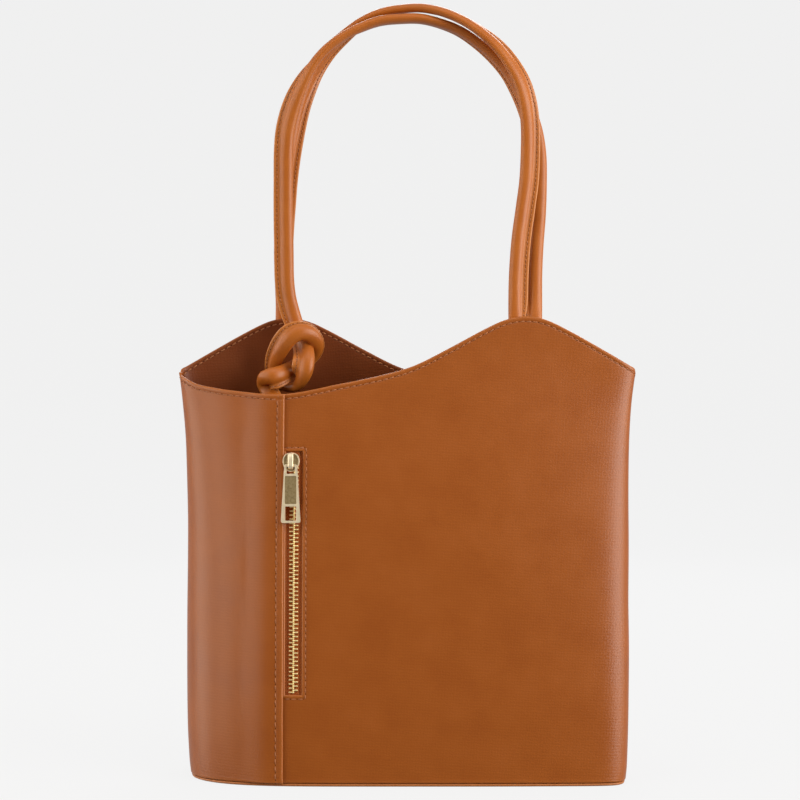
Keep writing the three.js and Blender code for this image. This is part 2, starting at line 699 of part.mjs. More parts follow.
// One ring of the strap: the stitched edge points at an angle between the side that faces
// out of the arch and the back.
function strapRing(curve, at, turn, section) {
  const centre = curve.getPoint(at);
  const along = curve.getTangent(at);
  const out = new THREE.Vector3().crossVectors(along, new THREE.Vector3(0, 1, 0)).normalize();
  const back = new THREE.Vector3().crossVectors(out, along).normalize();
  const side = out.clone().multiplyScalar(Math.cos(turn)).addScaledVector(back, Math.sin(turn));
  const thick = new THREE.Vector3().crossVectors(along, side);
  return section.map((p) => centre.clone()
    .addScaledVector(side, p.side)
    .addScaledVector(thick, p.thick));
}

// Joins rings of equal length into one closed body with flat ends.
function loft(rings) {
  const size = rings[0].length;
  const positions = [];
  const triangle = (...points) => points.forEach((p) => positions.push(p.x, p.y, p.z));
  for (let i = 0; i < rings.length - 1; i += 1) {
    for (let k = 0; k < size; k += 1) {
      const next = (k + 1) % size;
      triangle(rings[i][k], rings[i][next], rings[i + 1][next]);
      triangle(rings[i][k], rings[i + 1][next], rings[i + 1][k]);
    }
  }
  const cap = (ring, flip) => {
    for (let k = 0; k < size / 2 - 1; k += 1) {
      const [a, b, c, d] = [ring[k], ring[k + 1], ring[size - 2 - k], ring[size - 1 - k]];
      if (flip) {
        triangle(a, c, b);
        triangle(a, d, c);
      } else {
        triangle(a, b, c);
        triangle(a, c, d);
      }
    }
  };
  cap(rings[0], true);
  cap(rings[rings.length - 1], false);
  return fromPositions(positions);
}

// A row with its place and its filled columns. A sewn end takes its depth and turn from
// the wall that carries it.
function placedRow(row, x, y, z, isStart) {
  const full = { ...plainRow, ...row };
  if (full.seat === 'free') return { ...full, point: new THREE.Vector3(x, y, z) };
  full.turn = seatedTurn(full, x, z, isStart);
  return { ...full, point: new THREE.Vector3(x, seatedBack(full, x, z), z) };
}

function archRow(row, index, rows) {
  const x = row.across * peakOffset;
  const z = peakHeight + row.up * archRise;
  return placedRow(row, x, row.back * mouthDepth, z, index < rows.length / 2);
}

function knotRow(row) {
  const x = row.across * knotSize - peakOffset + knotShift;
  const z = peakHeight - knotDrop + row.up * knotSize;
  return placedRow(row, x, row.back * knotSize, z, true);
}

const archStep = 9;

function knottedStrap() {
  return strap([...knotRows.map(knotRow), ...frontArchRows.map(archRow)], archStep);
}

function plainStrap() {
  return strap(rearArchRows.map(archRow), archStep);
}

const tan = new THREE.MeshStandardMaterial({ color: 0x9e5529, roughness: 0.5, metalness: 0 });
const paleTan = new THREE.MeshStandardMaterial({ color: 0xaf6b42, roughness: 0.45, metalness: 0 });
const tape = new THREE.MeshStandardMaterial({ color: 0x7c4a28, roughness: 0.9, metalness: 0 });
const brass = new THREE.MeshStandardMaterial({ color: 0xe0b765, roughness: 0.25, metalness: 1 });
const gold = new THREE.MeshStandardMaterial({ color: 0xb59468, roughness: 0.3, metalness: 1 });

const bag = new THREE.Group();

function add(name, geometry, material) {
  const mesh = new THREE.Mesh(geometry, material);
  mesh.name = name;
  bag.add(mesh);
  return mesh;
}

add('front_panel', frontPanel(), tan);
add('rear_panel', rearPanel(), tan);
add('base_panel', basePanel(), paleTan);
add('strap_knotted', knottedStrap(), paleTan);
add('strap_plain', plainStrap(), paleTan);
add('zip_tape', zipTape(), tape);
add('zip_teeth_left', zipTeeth(-1), brass);
add('zip_teeth_right', zipTeeth(1), brass);

const sliderFrame = faceFrame(sliderCentre, sliderHead, sliderHead - pullLength);
const slider = add('zip_slider', zipSlider(), gold);
slider.position.copy(sliderFrame.head);
slider.quaternion.copy(sliderFrame.quaternion);

// The pull hangs from the slider and leans in until its foot is close to the turned edge.
const pull = add('zip_pull', zipPull(), gold);
const hinge = new THREE.Vector3(0, -hingeDepth, hingeHeight - sliderHead);
pull.position.copy(hinge.applyQuaternion(sliderFrame.quaternion).add(sliderFrame.head));
const lean = Math.atan((hingeDepth - pullThickness / 2 - plateBack) / pullLength);
pull.quaternion.copy(sliderFrame.quaternion);
pull.rotateX(lean);

export default bag;
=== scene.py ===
"""Convertible leather backpack: leather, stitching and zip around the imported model.

Metres. +X is the bag's right as seen from the front, -Y the front, +Z up.
"""

from bisect import bisect_right
import math
import random

import bmesh
import bpy
from mathutils import Matrix, Vector, noise


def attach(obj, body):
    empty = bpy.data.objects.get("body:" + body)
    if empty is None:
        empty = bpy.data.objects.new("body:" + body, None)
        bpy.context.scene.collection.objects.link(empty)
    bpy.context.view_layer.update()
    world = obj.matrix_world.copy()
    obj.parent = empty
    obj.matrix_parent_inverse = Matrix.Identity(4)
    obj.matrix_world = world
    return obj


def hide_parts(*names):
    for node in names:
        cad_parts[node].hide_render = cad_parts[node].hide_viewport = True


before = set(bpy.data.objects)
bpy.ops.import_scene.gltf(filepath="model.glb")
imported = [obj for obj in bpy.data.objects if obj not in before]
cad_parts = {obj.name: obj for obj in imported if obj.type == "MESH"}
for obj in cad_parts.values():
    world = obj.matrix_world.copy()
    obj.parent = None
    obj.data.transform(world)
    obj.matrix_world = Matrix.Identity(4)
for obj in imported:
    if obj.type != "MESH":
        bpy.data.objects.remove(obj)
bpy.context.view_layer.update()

# Body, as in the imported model
TOP_WIDTH = 0.310
PEAK_HEIGHT = 0.3105
DIP_HEIGHT = 0.2583
BASE_DEPTH = 0.094
WALL = 0.002
CLEARANCE = 0.0003
BASE_PLATE = 0.002
HALF_TOP = TOP_WIDTH / 2
HALF_BASE = BASE_DEPTH / 2
PEAK_OFFSET = 0.516 * HALF_TOP

# Lap seams
SEAM_OFFSET = 0.081
LAP_WIDTH = 0.009
LAP_RAMP = 0.022
UNDER_EDGE = SEAM_OFFSET + LAP_WIDTH
RAMP_END = UNDER_EDGE + CLEARANCE
RAMP_START = RAMP_END + LAP_RAMP
LAP_LIFT = WALL + CLEARANCE
PANEL_FOOT = BASE_PLATE + CLEARANCE

# Zip window
WINDOW_LEFT = -SEAM_OFFSET + 0.001
WINDOW_WIDTH = 0.011
WINDOW_RIGHT = WINDOW_LEFT + WINDOW_WIDTH
WINDOW_FOOT = 0.060
WINDOW_TOP = 0.220
TAPE_THICKNESS = 0.0008
TAPE_MARGIN = 0.006
CORD_RISE = 0.0007
CORD_REACH = 0.0031
CORD_WIDTH = 0.0006
CHAIN_WIDTH = 0.006
TOOTH_PITCH = 0.0027
TOOTH_HEIGHT = 0.00112
TOOTH_RISE = 0.0021

# Straps
TUBE_WIDTH = 0.009
TUBE_THICKNESS = 0.0062
FLANGE_WIDTH = 0.0043
FLANGE_THICKNESS = 0.002
EDGE_LEAST = 0.0004
STRAP_END = 0.0026
SEWN_GAP = 0.00055
ARCH_RISE = 0.213
MOUTH_DEPTH = 0.020
KNOT_SIZE = 0.044
KNOT_DROP = 0.027
KNOT_SHIFT = 0.001

# Stitching
RIM_STITCH_DROP = 0.0034
SEAM_STITCH_INSET = 0.0048
FRAME_STITCH_INSET = 0.0026
PANEL_PITCH = 0.0044
SEAM_PITCH = 0.0048
STRAP_PITCH = 0.0031
THREAD_RADIUS = 0.0004
THREAD_SLANT = (0.00006, 0.00016)
HOLE_RADIUS = 0.0003
HOLE_RISE = 0.00005
HOLE_DEPTH = 0.0004
GROOVE_DEPTH = 0.00024
GROOVE_REACH = 0.0006
EDGE_RADIUS = 0.001
EDGE_SWELL = 0.00016
STITCH_GAP = 0.17

# Distances from an edge, a window side and a seam at which the panels' mesh has lines,
# and the mesh's plain spacing along and up the panels
EDGE_STEPS = [0.0, 0.00008, 0.0003, 0.00062, 0.001]
WINDOW_STEPS = EDGE_STEPS + [0.0018, 0.0022, 0.0026, 0.003, 0.0036]
SEAM_STEPS = [0.0018, 0.0026, 0.003, 0.0034, 0.0038, 0.0043, 0.0048, 0.0053, 0.0062]
COLUMN_STEP = 0.0032
ROW_STEP = 0.0052
ROUND_START = 0.8 * HALF_TOP

# Level sections of the body. up: share of the peak height. width: share of half the top
# width. depth: share of half the base depth. round: corner exponent. skew: how far the two
# ends are set apart front to back, as a share of half the base depth.
BODY_SECTIONS = [
    (0, 0.94, 1, 4.2, 0.3),
    (0.03, 0.95, 1, 4.1, 0.3),
    (0.19, 0.961, 0.98, 3.8, 0.29),
    (0.39, 0.963, 0.9, 3.4, 0.27),
    (0.58, 0.964, 0.78, 3.05, 0.24),
    (0.72, 0.97, 0.66, 2.8, 0.21),
    (0.81, 0.983, 0.57, 2.6, 0.19),
    (0.88, 1, 0.5, 2.5, 0.17),
    (1, 1.03, 0.4, 2.3, 0.15),
]

# The front rim from the left corner to the right corner. across: share of half the top
# width. rise: share of the way from the dip to the peak. The rear rim is its half turn.
RIM_POINTS = [
    (-1.02, 0.29), (-0.9995, 0.29), (-0.9957, 0.25), (-0.975, 0.215), (-0.92, 0.135),
    (-0.87, 0.1), (-0.75, 0.045), (-0.53, 0), (-0.285, 0.13), (-0.1, 0.245),
    (0.035, 0.365), (0.177, 0.574), (0.34, 0.834), (0.43, 0.955), (0.516, 1), (0.6, 0.965),
    (0.705, 0.82), (0.853, 0.574), (0.975, 0.365), (0.9957, 0.33), (0.9995, 0.29),
    (1.02, 0.29),
]

# The knotted strap's end and overhand knot, up to the leg. across, back, up: shares of the
# knot size, from the knot's middle. turn: degrees from the strap's outer side towards its
# back, where the stitched edge points. edge: share of the stitched edge's width. girth:
# share of the tube's size. flat: 1 where pressed flat. seat: the wall that carries it.
STRAP_COLUMNS = ("across", "back", "up", "turn", "edge", "girth", "flat", "seat")
KNOT_ROWS = [
    (-0.24, 0, -1.3, 180, 1, 1, 1, "front"),
    (-0.24, 0, -1.12, 180, 1, 1, 1, "front"),
    (-0.24, 0, -0.97, 180, 1, 1, 1, "front"),
    (-0.24, 0, -0.9, 180, 1, 1, 1, "front"),
    (-0.26, -0.33, -0.74, 180, 1, 1, 0.8),
    (-0.33, -0.06, -0.56, 180, 0.7, 1, 0.4),
    (-0.4, 0.0, -0.42, 180, 0.4, 1.08),
    (-0.365, -0.12, -0.32, 180, 0.7, 1.18),
    (-0.26, -0.16, -0.295, 180, 0.9, 1.3),
    (-0.14, -0.11, -0.255, 180, 0.8, 1.22),
    (-0.011, 0.02, -0.182, 180, 0.4, 1.05),
    (0.122, 0.08, -0.106, 180, 0.2),
    (0.259, 0.136, -0.043, 180, 0.1),
    (0.36, 0.105, 0.042, 180, 0.1),
    (0.415, 0.011, 0.163, 180, 0.1, 1.05),
    (0.385, -0.08, 0.282, 180, 0.1, 1.15),
    (0.295, -0.15, 0.358, 180, 0.2, 1.2),
    (0.181, -0.195, 0.375, 180, 0.6, 1.2),
    (0.043, -0.2, 0.31, 180, 1, 1.2),
    (-0.064, -0.155, 0.195, 180, 1, 1.15),
    (-0.154, -0.057, 0.061, 180, 0.9, 1.1),
    (-0.225, 0.07, -0.083, 180, 0.7),
    (-0.245, 0.155, -0.229, 180, 0.4),
    (-0.193, 0.19, -0.376, 150, 0.3),
    (-0.068, 0.17, -0.462, 110, 0.3),
    (0.076, 0.04, -0.452, 60, 0.6),
    (0.185, -0.13, -0.36, 15, 1),
    (0.26, -0.205, -0.217, 0, 1.3, 1.05),
    (0.285, -0.18, -0.048, 0, 1.3, 1.05),
    (0.262, -0.05, 0.123, 0, 1.1, 1.05),
    (0.193, 0.055, 0.296, 0, 0.8),
    (0.122, 0.1, 0.468, 0, 0.8),
]

# The knotted strap's arch. across: share of the peaks' distance from the middle. back:
# share of the mouth depth. up: share of the arch rise above the peaks.
FRONT_ARCH_ROWS = [
    (-0.959, 0.22, 0.015, 0),
    (-0.993, 0.2, 0.066, 0),
    (-1.009, 0.15, 0.12, 0),
    (-1.013, 0.1, 0.216, 0),
    (-1.017, 0.05, 0.327, 0),
    (-1.016, 0, 0.438, 0),
    (-1.013, -0.05, 0.534, 2),
    (-0.998, -0.1, 0.597, 6),
    (-0.959, -0.15, 0.66, 15),
    (-0.9, -0.2, 0.723, 35),
    (-0.822, -0.25, 0.783, 60),
    (-0.712, -0.275, 0.838, 80),
    (-0.559, -0.275, 0.886, 92),
    (-0.39, -0.25, 0.92, 98),
    (-0.221, -0.225, 0.943, 100),
    (-0.051, -0.15, 0.951, 100),
    (0.119, -0.05, 0.953, 100),
    (0.289, 0.085, 0.941, 100),
    (0.46, 0.19, 0.918, 105),
    (0.682, 0.26, 0.86, 110),
    (0.858, 0.3, 0.795, 120),
    (0.965, 0.315, 0.733, 130),
    (1.05, 0.3, 0.669, 145),
    (1.109, 0.25, 0.601, 160),
    (1.14, 0.175, 0.52, 172),
    (1.142, 0.075, 0.423, 178),
    (1.132, -0.025, 0.326, 180),
    (1.111, -0.125, 0.23, 180),
    (1.098, -0.225, 0.134, 180),
    (1.095, -0.37, 0.047, 180),
    (1.091, -0.56, -0.01, 180, 0.6, 1, 0.3),
    (1.087, 0, -0.07, 180, 0, 1, 1, "front"),
    (1.087, 0, -0.09, 180, 0, 1, 1, "front"),
    (1.086, 0, -0.13, 180, 0, 1, 1, "front"),
    (1.086, 0, -0.18, 180, 0, 1, 1, "front"),
]

# The plain strap, from its sewn end outside the rear panel, over the arch and down to its
# sewn end inside the front panel. Columns as in the table above.
REAR_ARCH_ROWS = [
    (-1.071, 0, -0.2, 180, 1, 1, 1, "rear"),
    (-1.072, 0, -0.14, 180, 1, 1, 1, "rear"),
    (-1.073, 0, -0.1, 180, 1, 1, 1, "rear"),
    (-1.073, 0, -0.085, 180, 1, 1, 1, "rear"),
    (-1.073, 1.25, -0.04, 180, 1, 1, 0.5),
    (-1.073, 1.33, 0, 180, 1, 1, 0.2),
    (-1.071, 1.27, 0.05, 180),
    (-1.077, 1.12, 0.125, 180),
    (-1.081, 0.93, 0.221, 180),
    (-1.069, 0.8, 0.301, 180),
    (-1.055, 0.72, 0.365, 180),
    (-1.037, 0.64, 0.444, 180),
    (-1.002, 0.56, 0.54, 178),
    (-0.933, 0.5, 0.669, 170),
    (-0.877, 0.475, 0.732, 160),
    (-0.796, 0.465, 0.797, 145),
    (-0.676, 0.46, 0.858, 130),
    (-0.522, 0.45, 0.91, 115),
    (-0.376, 0.4, 0.95, 105),
    (-0.205, 0.27, 0.977, 95),
    (-0.034, 0.11, 0.986, 90),
    (0.119, -0.025, 0.987, 85),
    (0.288, -0.16, 0.974, 80),
    (0.457, -0.25, 0.948, 70),
    (0.609, -0.32, 0.912, 60),
    (0.794, -0.38, 0.847, 45),
    (0.946, -0.4, 0.755, 30),
    (1.001, -0.375, 0.686, 20),
    (1.025, -0.34, 0.607, 10),
    (1.026, -0.325, 0.53, 5),
    (1.014, -0.34, 0.435, 0),
    (0.984, -0.37, 0.349, 0),
    (0.946, -0.42, 0.244, 0),
    (0.924, -0.49, 0.132, 0),
    (0.918, -0.575, 0.046, 0),
    (0.917, -0.675, -0.011, 0, 0.6, 1, 0.3),
    (0.915, 0, -0.07, 0, 0, 1, 1, "front"),
    (0.915, 0, -0.09, 0, 0, 1, 1, "front"),
    (0.914, 0, -0.13, 0, 0, 1, 1, "front"),
    (0.914, 0, -0.18, 0, 0, 1, 1, "front"),
]


def lerp(a, b, share):
    return a + (b - a) * share


def clamp(value, low, high):
    return max(low, min(high, value))


def smooth(share):
    share = clamp(share, 0, 1)
    return share * share * (3 - 2 * share)


def signed_power(value, power):
    return math.copysign(abs(value) ** power, value)


def read_table(rows, column, at):
    """A column of a table at any key of its first column, with a smooth curve."""
    last = len(rows) - 1
    inside = clamp(at, rows[0][0], rows[last][0])
    i = 0
    while i < last - 1 and rows[i + 1][0] < inside:
        i += 1

    def slope(j):
        before, after = rows[max(j - 1, 0)], rows[min(j + 1, last)]
        return (after[column] - before[column]) / (after[0] - before[0])

    span = rows[i + 1][0] - rows[i][0]
    s = (inside - rows[i][0]) / span
    h1 = (1 + 2 * s) * (1 - s) ** 2
    h2 = s * (1 - s) ** 2 * span
    h3 = s ** 2 * (3 - 2 * s)
    h4 = s ** 2 * (s - 1) * span
    return (h1 * rows[i][column] + h2 * slope(i)
            + h3 * rows[i + 1][column] + h4 * slope(i + 1))


section_cache = {}


def section_at(z):
    """The body's level section at a height: half width, depth, corner exponent, skew."""
    key = round(z, 7)
    if key not in section_cache:
        up = z / PEAK_HEIGHT
        section_cache[key] = (
            HALF_TOP * read_table(BODY_SECTIONS, 1, up),
            HALF_BASE * read_table(BODY_SECTIONS, 2, up),
            read_table(BODY_SECTIONS, 3, up),
            HALF_BASE * read_table(BODY_SECTIONS, 4, up),
        )
    return section_cache[key]


def front_angle(x, z):
    half, _, corner, _ = section_at(z)
    return math.acos(signed_power(clamp(x / half, -1, 1), corner / 2))


def plan_point(section, angle):
    """A plan point of a section: angle 0 is the right end, a quarter turn the front."""
    half, depth, corner, skew = section
    share = signed_power(math.cos(angle), 2 / corner)
    shift = -skew * math.copysign(abs(share) ** 6, share)
    return half * share, -depth * signed_power(math.sin(angle), 2 / corner) + shift


def on_body(angle, z, offset):
    """A point on the body at an angle and height, set off outwards from its outer face."""
    section = section_at(z)
    step = 0.03
    ahead = plan_point(section, angle + step)
    behind = plan_point(section, angle - step)
    dx, dy = ahead[0] - behind[0], ahead[1] - behind[1]
    length = math.hypot(dx, dy)
    x, y = plan_point(section, angle)
    return Vector((x - dy / length * offset, y + dx / length * offset, z))


def on_front(x, z, offset):
    return on_body(front_angle(x, z), z, offset)


def rim_height(x, is_front):
    across = (x if is_front else -x) / HALF_TOP
    return lerp(DIP_HEIGHT, PEAK_HEIGHT, read_table(RIM_POINTS, 1, across))


def column_angle(column, z):
    return front_angle(column["x"], z) * (1 - 2 * column.get("round", 0))


def column_rim(column):
    rim = DIP_HEIGHT
    for _ in range(4):
        angle = column_angle(column, rim)
        rim = rim_height(plan_point(section_at(rim), angle)[0], angle > 0)
    return rim


def ring(centre, u, v, sides, power=1):
    """Points round a centre, from u towards v. A low power squares the ring."""
    turns = [2 * math.pi * k / sides for k in range(sides)]
    return [centre + u * signed_power(math.cos(turn), power)
            + v * signed_power(math.sin(turn), power) for turn in turns]


def ring_faces(base, rings, sides):
    """Faces between closed rings of points that follow each other from a first point."""
    faces = []
    for i in range(rings - 1):
        for k in range(sides):
            a, b = base + i * sides + k, base + i * sides + (k + 1) % sides
            faces.append((a, b, b + sides, a + sides))
    return faces


def flipped(faces):
    return [face[::-1] for face in faces]


def sheet_faces(columns, rows, is_open):
    """Faces and material indices of a sheet: its outer side, inner side and borders."""
    total = columns * rows

    def is_cell(i, j):
        return 0 <= i < columns - 1 and 0 <= j < rows - 1 and not is_open(i, j)

    faces, indices = [], []
    for i in range(columns - 1):
        for j in range(rows - 1):
            if not is_cell(i, j):
                continue
            a, b = i * rows + j, (i + 1) * rows + j
            c, d = b + 1, a + 1
            faces += [(a, b, c, d), (a + total, d + total, c + total, b + total)]
            indices += [0, 1]
            beside = ((i, j - 1, b, a), (i + 1, j, c, b), (i, j + 1, d, c), (i - 1, j, a, d))
            for across, up, p, q in beside:
                if not is_cell(across, up):
                    faces.append((p, q, q + total, p + total))
                    indices.append(0)
    return faces, indices


def make_object(name, verts, faces, materials, indices=None, uvs=None, edges=None,
                is_smooth=True):
    """An object from points and faces, with a UV map and the values of its lighter edge tone,
    which is partly wear and partly a painted highlight.
    """
    mesh = bpy.data.meshes.new(name)
    mesh.from_pydata([tuple(v) for v in verts], [], faces)
    for material in materials:
        mesh.materials.append(material)
    if indices:
        mesh.polygons.foreach_set("material_index", indices)
    mesh.polygons.foreach_set("use_smooth", [is_smooth] * len(mesh.polygons))
    if uvs:
        layer = mesh.uv_layers.new(name="surface")
        flat = []
        for loop in mesh.loops:
            flat.extend(uvs[loop.vertex_index])
        layer.data.foreach_set("uv", flat)
    if edges:
        mesh.attributes.new("edge", "FLOAT", "POINT").data.foreach_set("value", edges)
    mesh.update()
    return link_object(name, mesh)


def link_object(name, data):
    obj = bpy.data.objects.new(name, data)
    bpy.context.scene.collection.objects.link(obj)
    return obj


def finish_piece(obj, body, slot, *nodes):
    if nodes:
        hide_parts(*nodes)
    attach(obj, body)


# Materials


def add_node(tree, kind, inputs=(), **settings):
    """A shader node in a tree, with a value or a link for each given input."""
    node = tree.nodes.new("ShaderNode" + kind)
    for key, value in settings.items():
        setattr(node, key, value)
    for key, value in dict(inputs).items():
        if isinstance(value, bpy.types.NodeSocket):
            tree.links.new(value, node.inputs[key])
        else:
            node.inputs[key].default_value = value
    return node


class Nodes:
    """A small helper that adds and links the nodes of one material."""

    def __init__(self, name):
        self.material = bpy.data.materials.new(name)
        self.material.use_nodes = True
        self.tree = self.material.node_tree
        self.shader = self.tree.nodes["Principled BSDF"]

    def add(self, kind, inputs=(), **settings):
        return add_node(self.tree, kind, inputs, **settings)

    def link(self, socket, name):
        self.tree.links.new(socket, self.shader.inputs[name])

    def set(self, **values):
        for key, value in values.items():
            self.shader.inputs[key.replace("_", " ")].default_value = value

    def ramp(self, fac, stops):
        node = self.add("ValToRGB", {"Fac": fac})
        ramp = node.color_ramp
        while len(ramp.elements) < len(stops):
            ramp.elements.new(0.5)
        for element, (position, colour) in zip(ramp.elements, stops):
            element.position = position
            element.color = colour if len(colour) == 4 else (*colour, 1)
        return node.outputs["Color"]

    def math(self, operation, a, b=0.0):
        return self.add("Math", {0: a, 1: b}, operation=operation).outputs[0]

    def bump(self, height, strength, distance, inputs=()):
        values = {"Height": height, "Strength": strength, "Distance": distance}
        node = self.add("Bump", {**values, **dict(inputs)})
        self.link(node.outputs["Normal"], "Normal")

    def mix(self, fac, a, b, blend_type="MIX"):
        node = self.add("Mix", {0: fac, 6: a, 7: b}, data_type="RGBA", blend_type=blend_type)
        return node.outputs[2]


def linear(r, g, b):
    """Display colour values from 0 to 255 as linear light."""
    def one(value):
        c = value / 255
        return c / 12.92 if c <= 0.04045 else ((c + 0.055) / 1.055) ** 2.4
    return (one(r), one(g), one(b), 1)


# The leather's printed grain: its pitch, the directions of its two sets of lines, its
# pores, and the scale of its uneven dye
GRAIN_PITCH = 0.0010
GRAIN_TURNS = (math.radians(93), math.radians(4))
PORE_PITCH = 0.0009
DYE_SCALE = 34.0


def wave_scale(pitch):
    """The wave texture's scale for lines that repeat at a pitch."""
    return 1 / pitch / 6.28


def leather(name, tones, roughness, grain):
    """Leather with a crossed printed grain. Its tones are deep, main, pale, and a lighter edge
    tone that is partly wear and partly a painted highlight.
    """
    deep, main, pale, edge_wear_highlight_tone = (linear(*tone) for tone in tones)
    n = Nodes(name)
    uv = n.add("UVMap", uv_map="surface").outputs["UV"]
    waves = []
    for angle in GRAIN_TURNS:
        turned = n.add("Mapping", {"Vector": uv, "Rotation": (0, 0, angle)}).outputs[0]
        wave = n.add("TexWave", {
            "Vector": turned, "Scale": wave_scale(GRAIN_PITCH), "Distortion": 4.5,
            "Detail": 2.0, "Detail Scale": 2.5,
        })
        waves.append(wave.outputs["Fac"])
    crossed = n.math("ADD", n.math("MULTIPLY", waves[0], 0.65),
                     n.math("MULTIPLY", waves[1], 0.4))
    cells = n.add("TexVoronoi", {"Vector": uv, "Scale": 1 / PORE_PITCH, "Randomness": 1.0})
    pores = n.math("MULTIPLY", cells.outputs["Distance"], 0.55)
    height = n.math("SUBTRACT", crossed, pores)
    fine = n.add("TexNoise", {"Vector": uv, "Scale": 2600.0, "Detail": 2.0})
    height = n.math("ADD", height, n.math("MULTIPLY", fine.outputs["Fac"], 0.35))
    printed = n.add("Bump", {"Height": height, "Strength": grain, "Distance": 0.00016})
    soft = n.add("TexNoise", {"Vector": uv, "Scale": 26.0, "Detail": 3.0})
    n.bump(soft.outputs["Fac"], 0.12, 0.001, {"Normal": printed.outputs["Normal"]})
    dye = n.add("TexNoise", {"Vector": uv, "Scale": DYE_SCALE, "Detail": 5.0, "Roughness": 0.6})
    body = n.ramp(dye.outputs["Fac"], [(0.3, deep), (0.52, main), (0.8, pale)])
    # Rims, seams and strap edges are lightened here: partly wear, partly a painted highlight
    # along the edge.
    edge_wear_highlight_mask = n.add("Attribute", attribute_name="edge").outputs["Fac"]
    speck = n.add("TexNoise", {"Vector": uv, "Scale": 900.0, "Detail": 2.0})
    edge_wear_highlight_mix = n.math("MULTIPLY", edge_wear_highlight_mask, n.math("ADD", speck.outputs["Fac"], 0.15))
    colour = n.mix(edge_wear_highlight_mix, body, edge_wear_highlight_tone)
    # Painted shade: the colour is a little darker where the grain's height is low, in its
    # hollows.
    grain_hollow_painted_shade = n.ramp(height, [(0.15, (0.74, 0.7, 0.66)), (0.75, (1, 1, 1))])
    colour = n.mix(0.16, colour, grain_hollow_painted_shade, "MULTIPLY")
    n.link(colour, "Base Color")
    rough = n.math("ADD", n.math("MULTIPLY", dye.outputs["Fac"], 0.16), roughness - 0.08)
    rough = n.math("SUBTRACT", rough, n.math("MULTIPLY", edge_wear_highlight_mask, 0.06))
    n.link(rough, "Roughness")
    n.set(Specular_IOR_Level=0.4, Coat_Weight=0.05, Coat_Roughness=0.35)
    return n.material


def clouded(name, scale, detail, tones, bump):
    """A material's nodes with clouds from a dark to a pale tone, and a bump to match."""
    n = Nodes(name)
    place = n.add("TexCoord").outputs["Object"]
    cloud = n.add("TexNoise", {"Vector": place, "Scale": scale, "Detail": detail})
    n.link(n.ramp(cloud.outputs["Fac"], tones), "Base Color")
    n.bump(cloud.outputs["Fac"], *bump)
    return n, cloud.outputs["Fac"]


def metal(name, colour, dark, roughness, scale):
    """Cast or plated metal with uneven colour and sheen."""
    n, cast = clouded(name, scale, 5.0, [(0.3, dark), (0.62, colour)], (0.25, 0.0001))
    n.link(n.math("ADD", n.math("MULTIPLY", cast, 0.18), roughness), "Roughness")
    n.set(Metallic=0.6)
    return n.material


def woven(name, deep, main):
    """The zip's herringbone tape."""
    n = Nodes(name)
    uv = n.add("UVMap", uv_map="surface").outputs["UV"]
    turned = n.add("Mapping", {"Vector": uv, "Rotation": (0, 0, math.radians(35))}).outputs[0]
    ribs = n.add("TexWave", {
        "Vector": turned, "Scale": wave_scale(0.0006), "Distortion": 0.6,
    })
    picks = n.add("TexWave", {
        "Vector": uv, "Scale": wave_scale(0.0005), "Distortion": 0.4,
    }, bands_direction="Y")
    height = n.math("MULTIPLY", ribs.outputs["Fac"], picks.outputs["Fac"])
    n.link(n.ramp(height, [(0.0, deep), (0.7, main)]), "Base Color")
    n.bump(height, 0.8, 0.0003)
    n.set(Roughness=0.85, Sheen_Weight=0.2)
    return n.material


def thread(name, deep, main):
    """Waxed sewing thread with a fine ply."""
    n, _ = clouded(name, 2200.0, 2.0, [(0.3, deep), (0.7, main)], (0.5, 0.0002))
    n.set(Roughness=0.6, Sheen_Weight=0.1)
    return n.material


def matt(name, colour):
    n = Nodes(name)
    place = n.add("TexCoord").outputs["Object"]
    cloud = n.add("TexNoise", {"Vector": place, "Scale": 300.0})
    shade = n.ramp(cloud.outputs["Fac"], [(0.3, (0.4, 0.4, 0.4)), (0.7, (1, 1, 1))])
    n.link(n.mix(0.12, colour, shade, "MULTIPLY"), "Base Color")
    n.set(Roughness=0.9)
    return n.material


panel_leather = leather("panel_leather", [(153, 79, 24), (158, 83, 25), (163, 87, 29),
                                          (180, 104, 44)], 0.36, 0.26)
strap_leather = leather("strap_leather", [(176, 94, 28), (182, 100, 32), (188, 106, 38),
                                          (200, 128, 66)], 0.38, 0.16)
base_leather = leather("base_leather", [(150, 74, 24), (158, 82, 28), (166, 90, 34),
                                        (190, 120, 66)], 0.45, 0.3)
# Painted shade: the same leather as outside, its colour darkened for the shade inside the bag.
inner_leather_painted_shade = leather("inner_leather_painted_shade", [(113, 50, 9), (119, 54, 10), (123, 58, 12),
                                          (160, 88, 38)], 0.5, 0.34)
thread_tan = thread("thread_tan", linear(142, 78, 35), linear(188, 120, 70))
# Painted shade: the dark inside of a needle hole, laid on the leather as a dark plug.
needle_hole_painted_shade = matt("needle_hole_painted_shade", linear(66, 28, 10))
brass_teeth = metal("brass_teeth", (1.0, 0.83, 0.4, 1), (0.95, 0.76, 0.36, 1), 0.3, 900.0)
antique_gold = metal("antique_gold", (1.0, 0.85, 0.6, 1), (0.94, 0.78, 0.54, 1), 0.36, 400.0)
dark_gold = metal("dark_gold", (0.4, 0.3, 0.15, 1), (0.28, 0.2, 0.09, 1), 0.42, 700.0)
# Painted light: the tape's colour is raised to make up for the shade in the window's recess.
zip_tape_cloth_painted_light = woven("zip_tape_cloth_painted_light", linear(176, 88, 28), linear(222, 122, 46))

# Panels


def edge_half(distance):
    """Half the leather's thickness at a distance from a rounded edge."""
    share = 1 - clamp(distance / EDGE_RADIUS, 0, 1)
    return WALL / 2 * max(math.sqrt(1 - share * share), 0.16)


def groove(distance, centre):
    return math.exp(-((distance - centre) / GROOVE_REACH) ** 2)


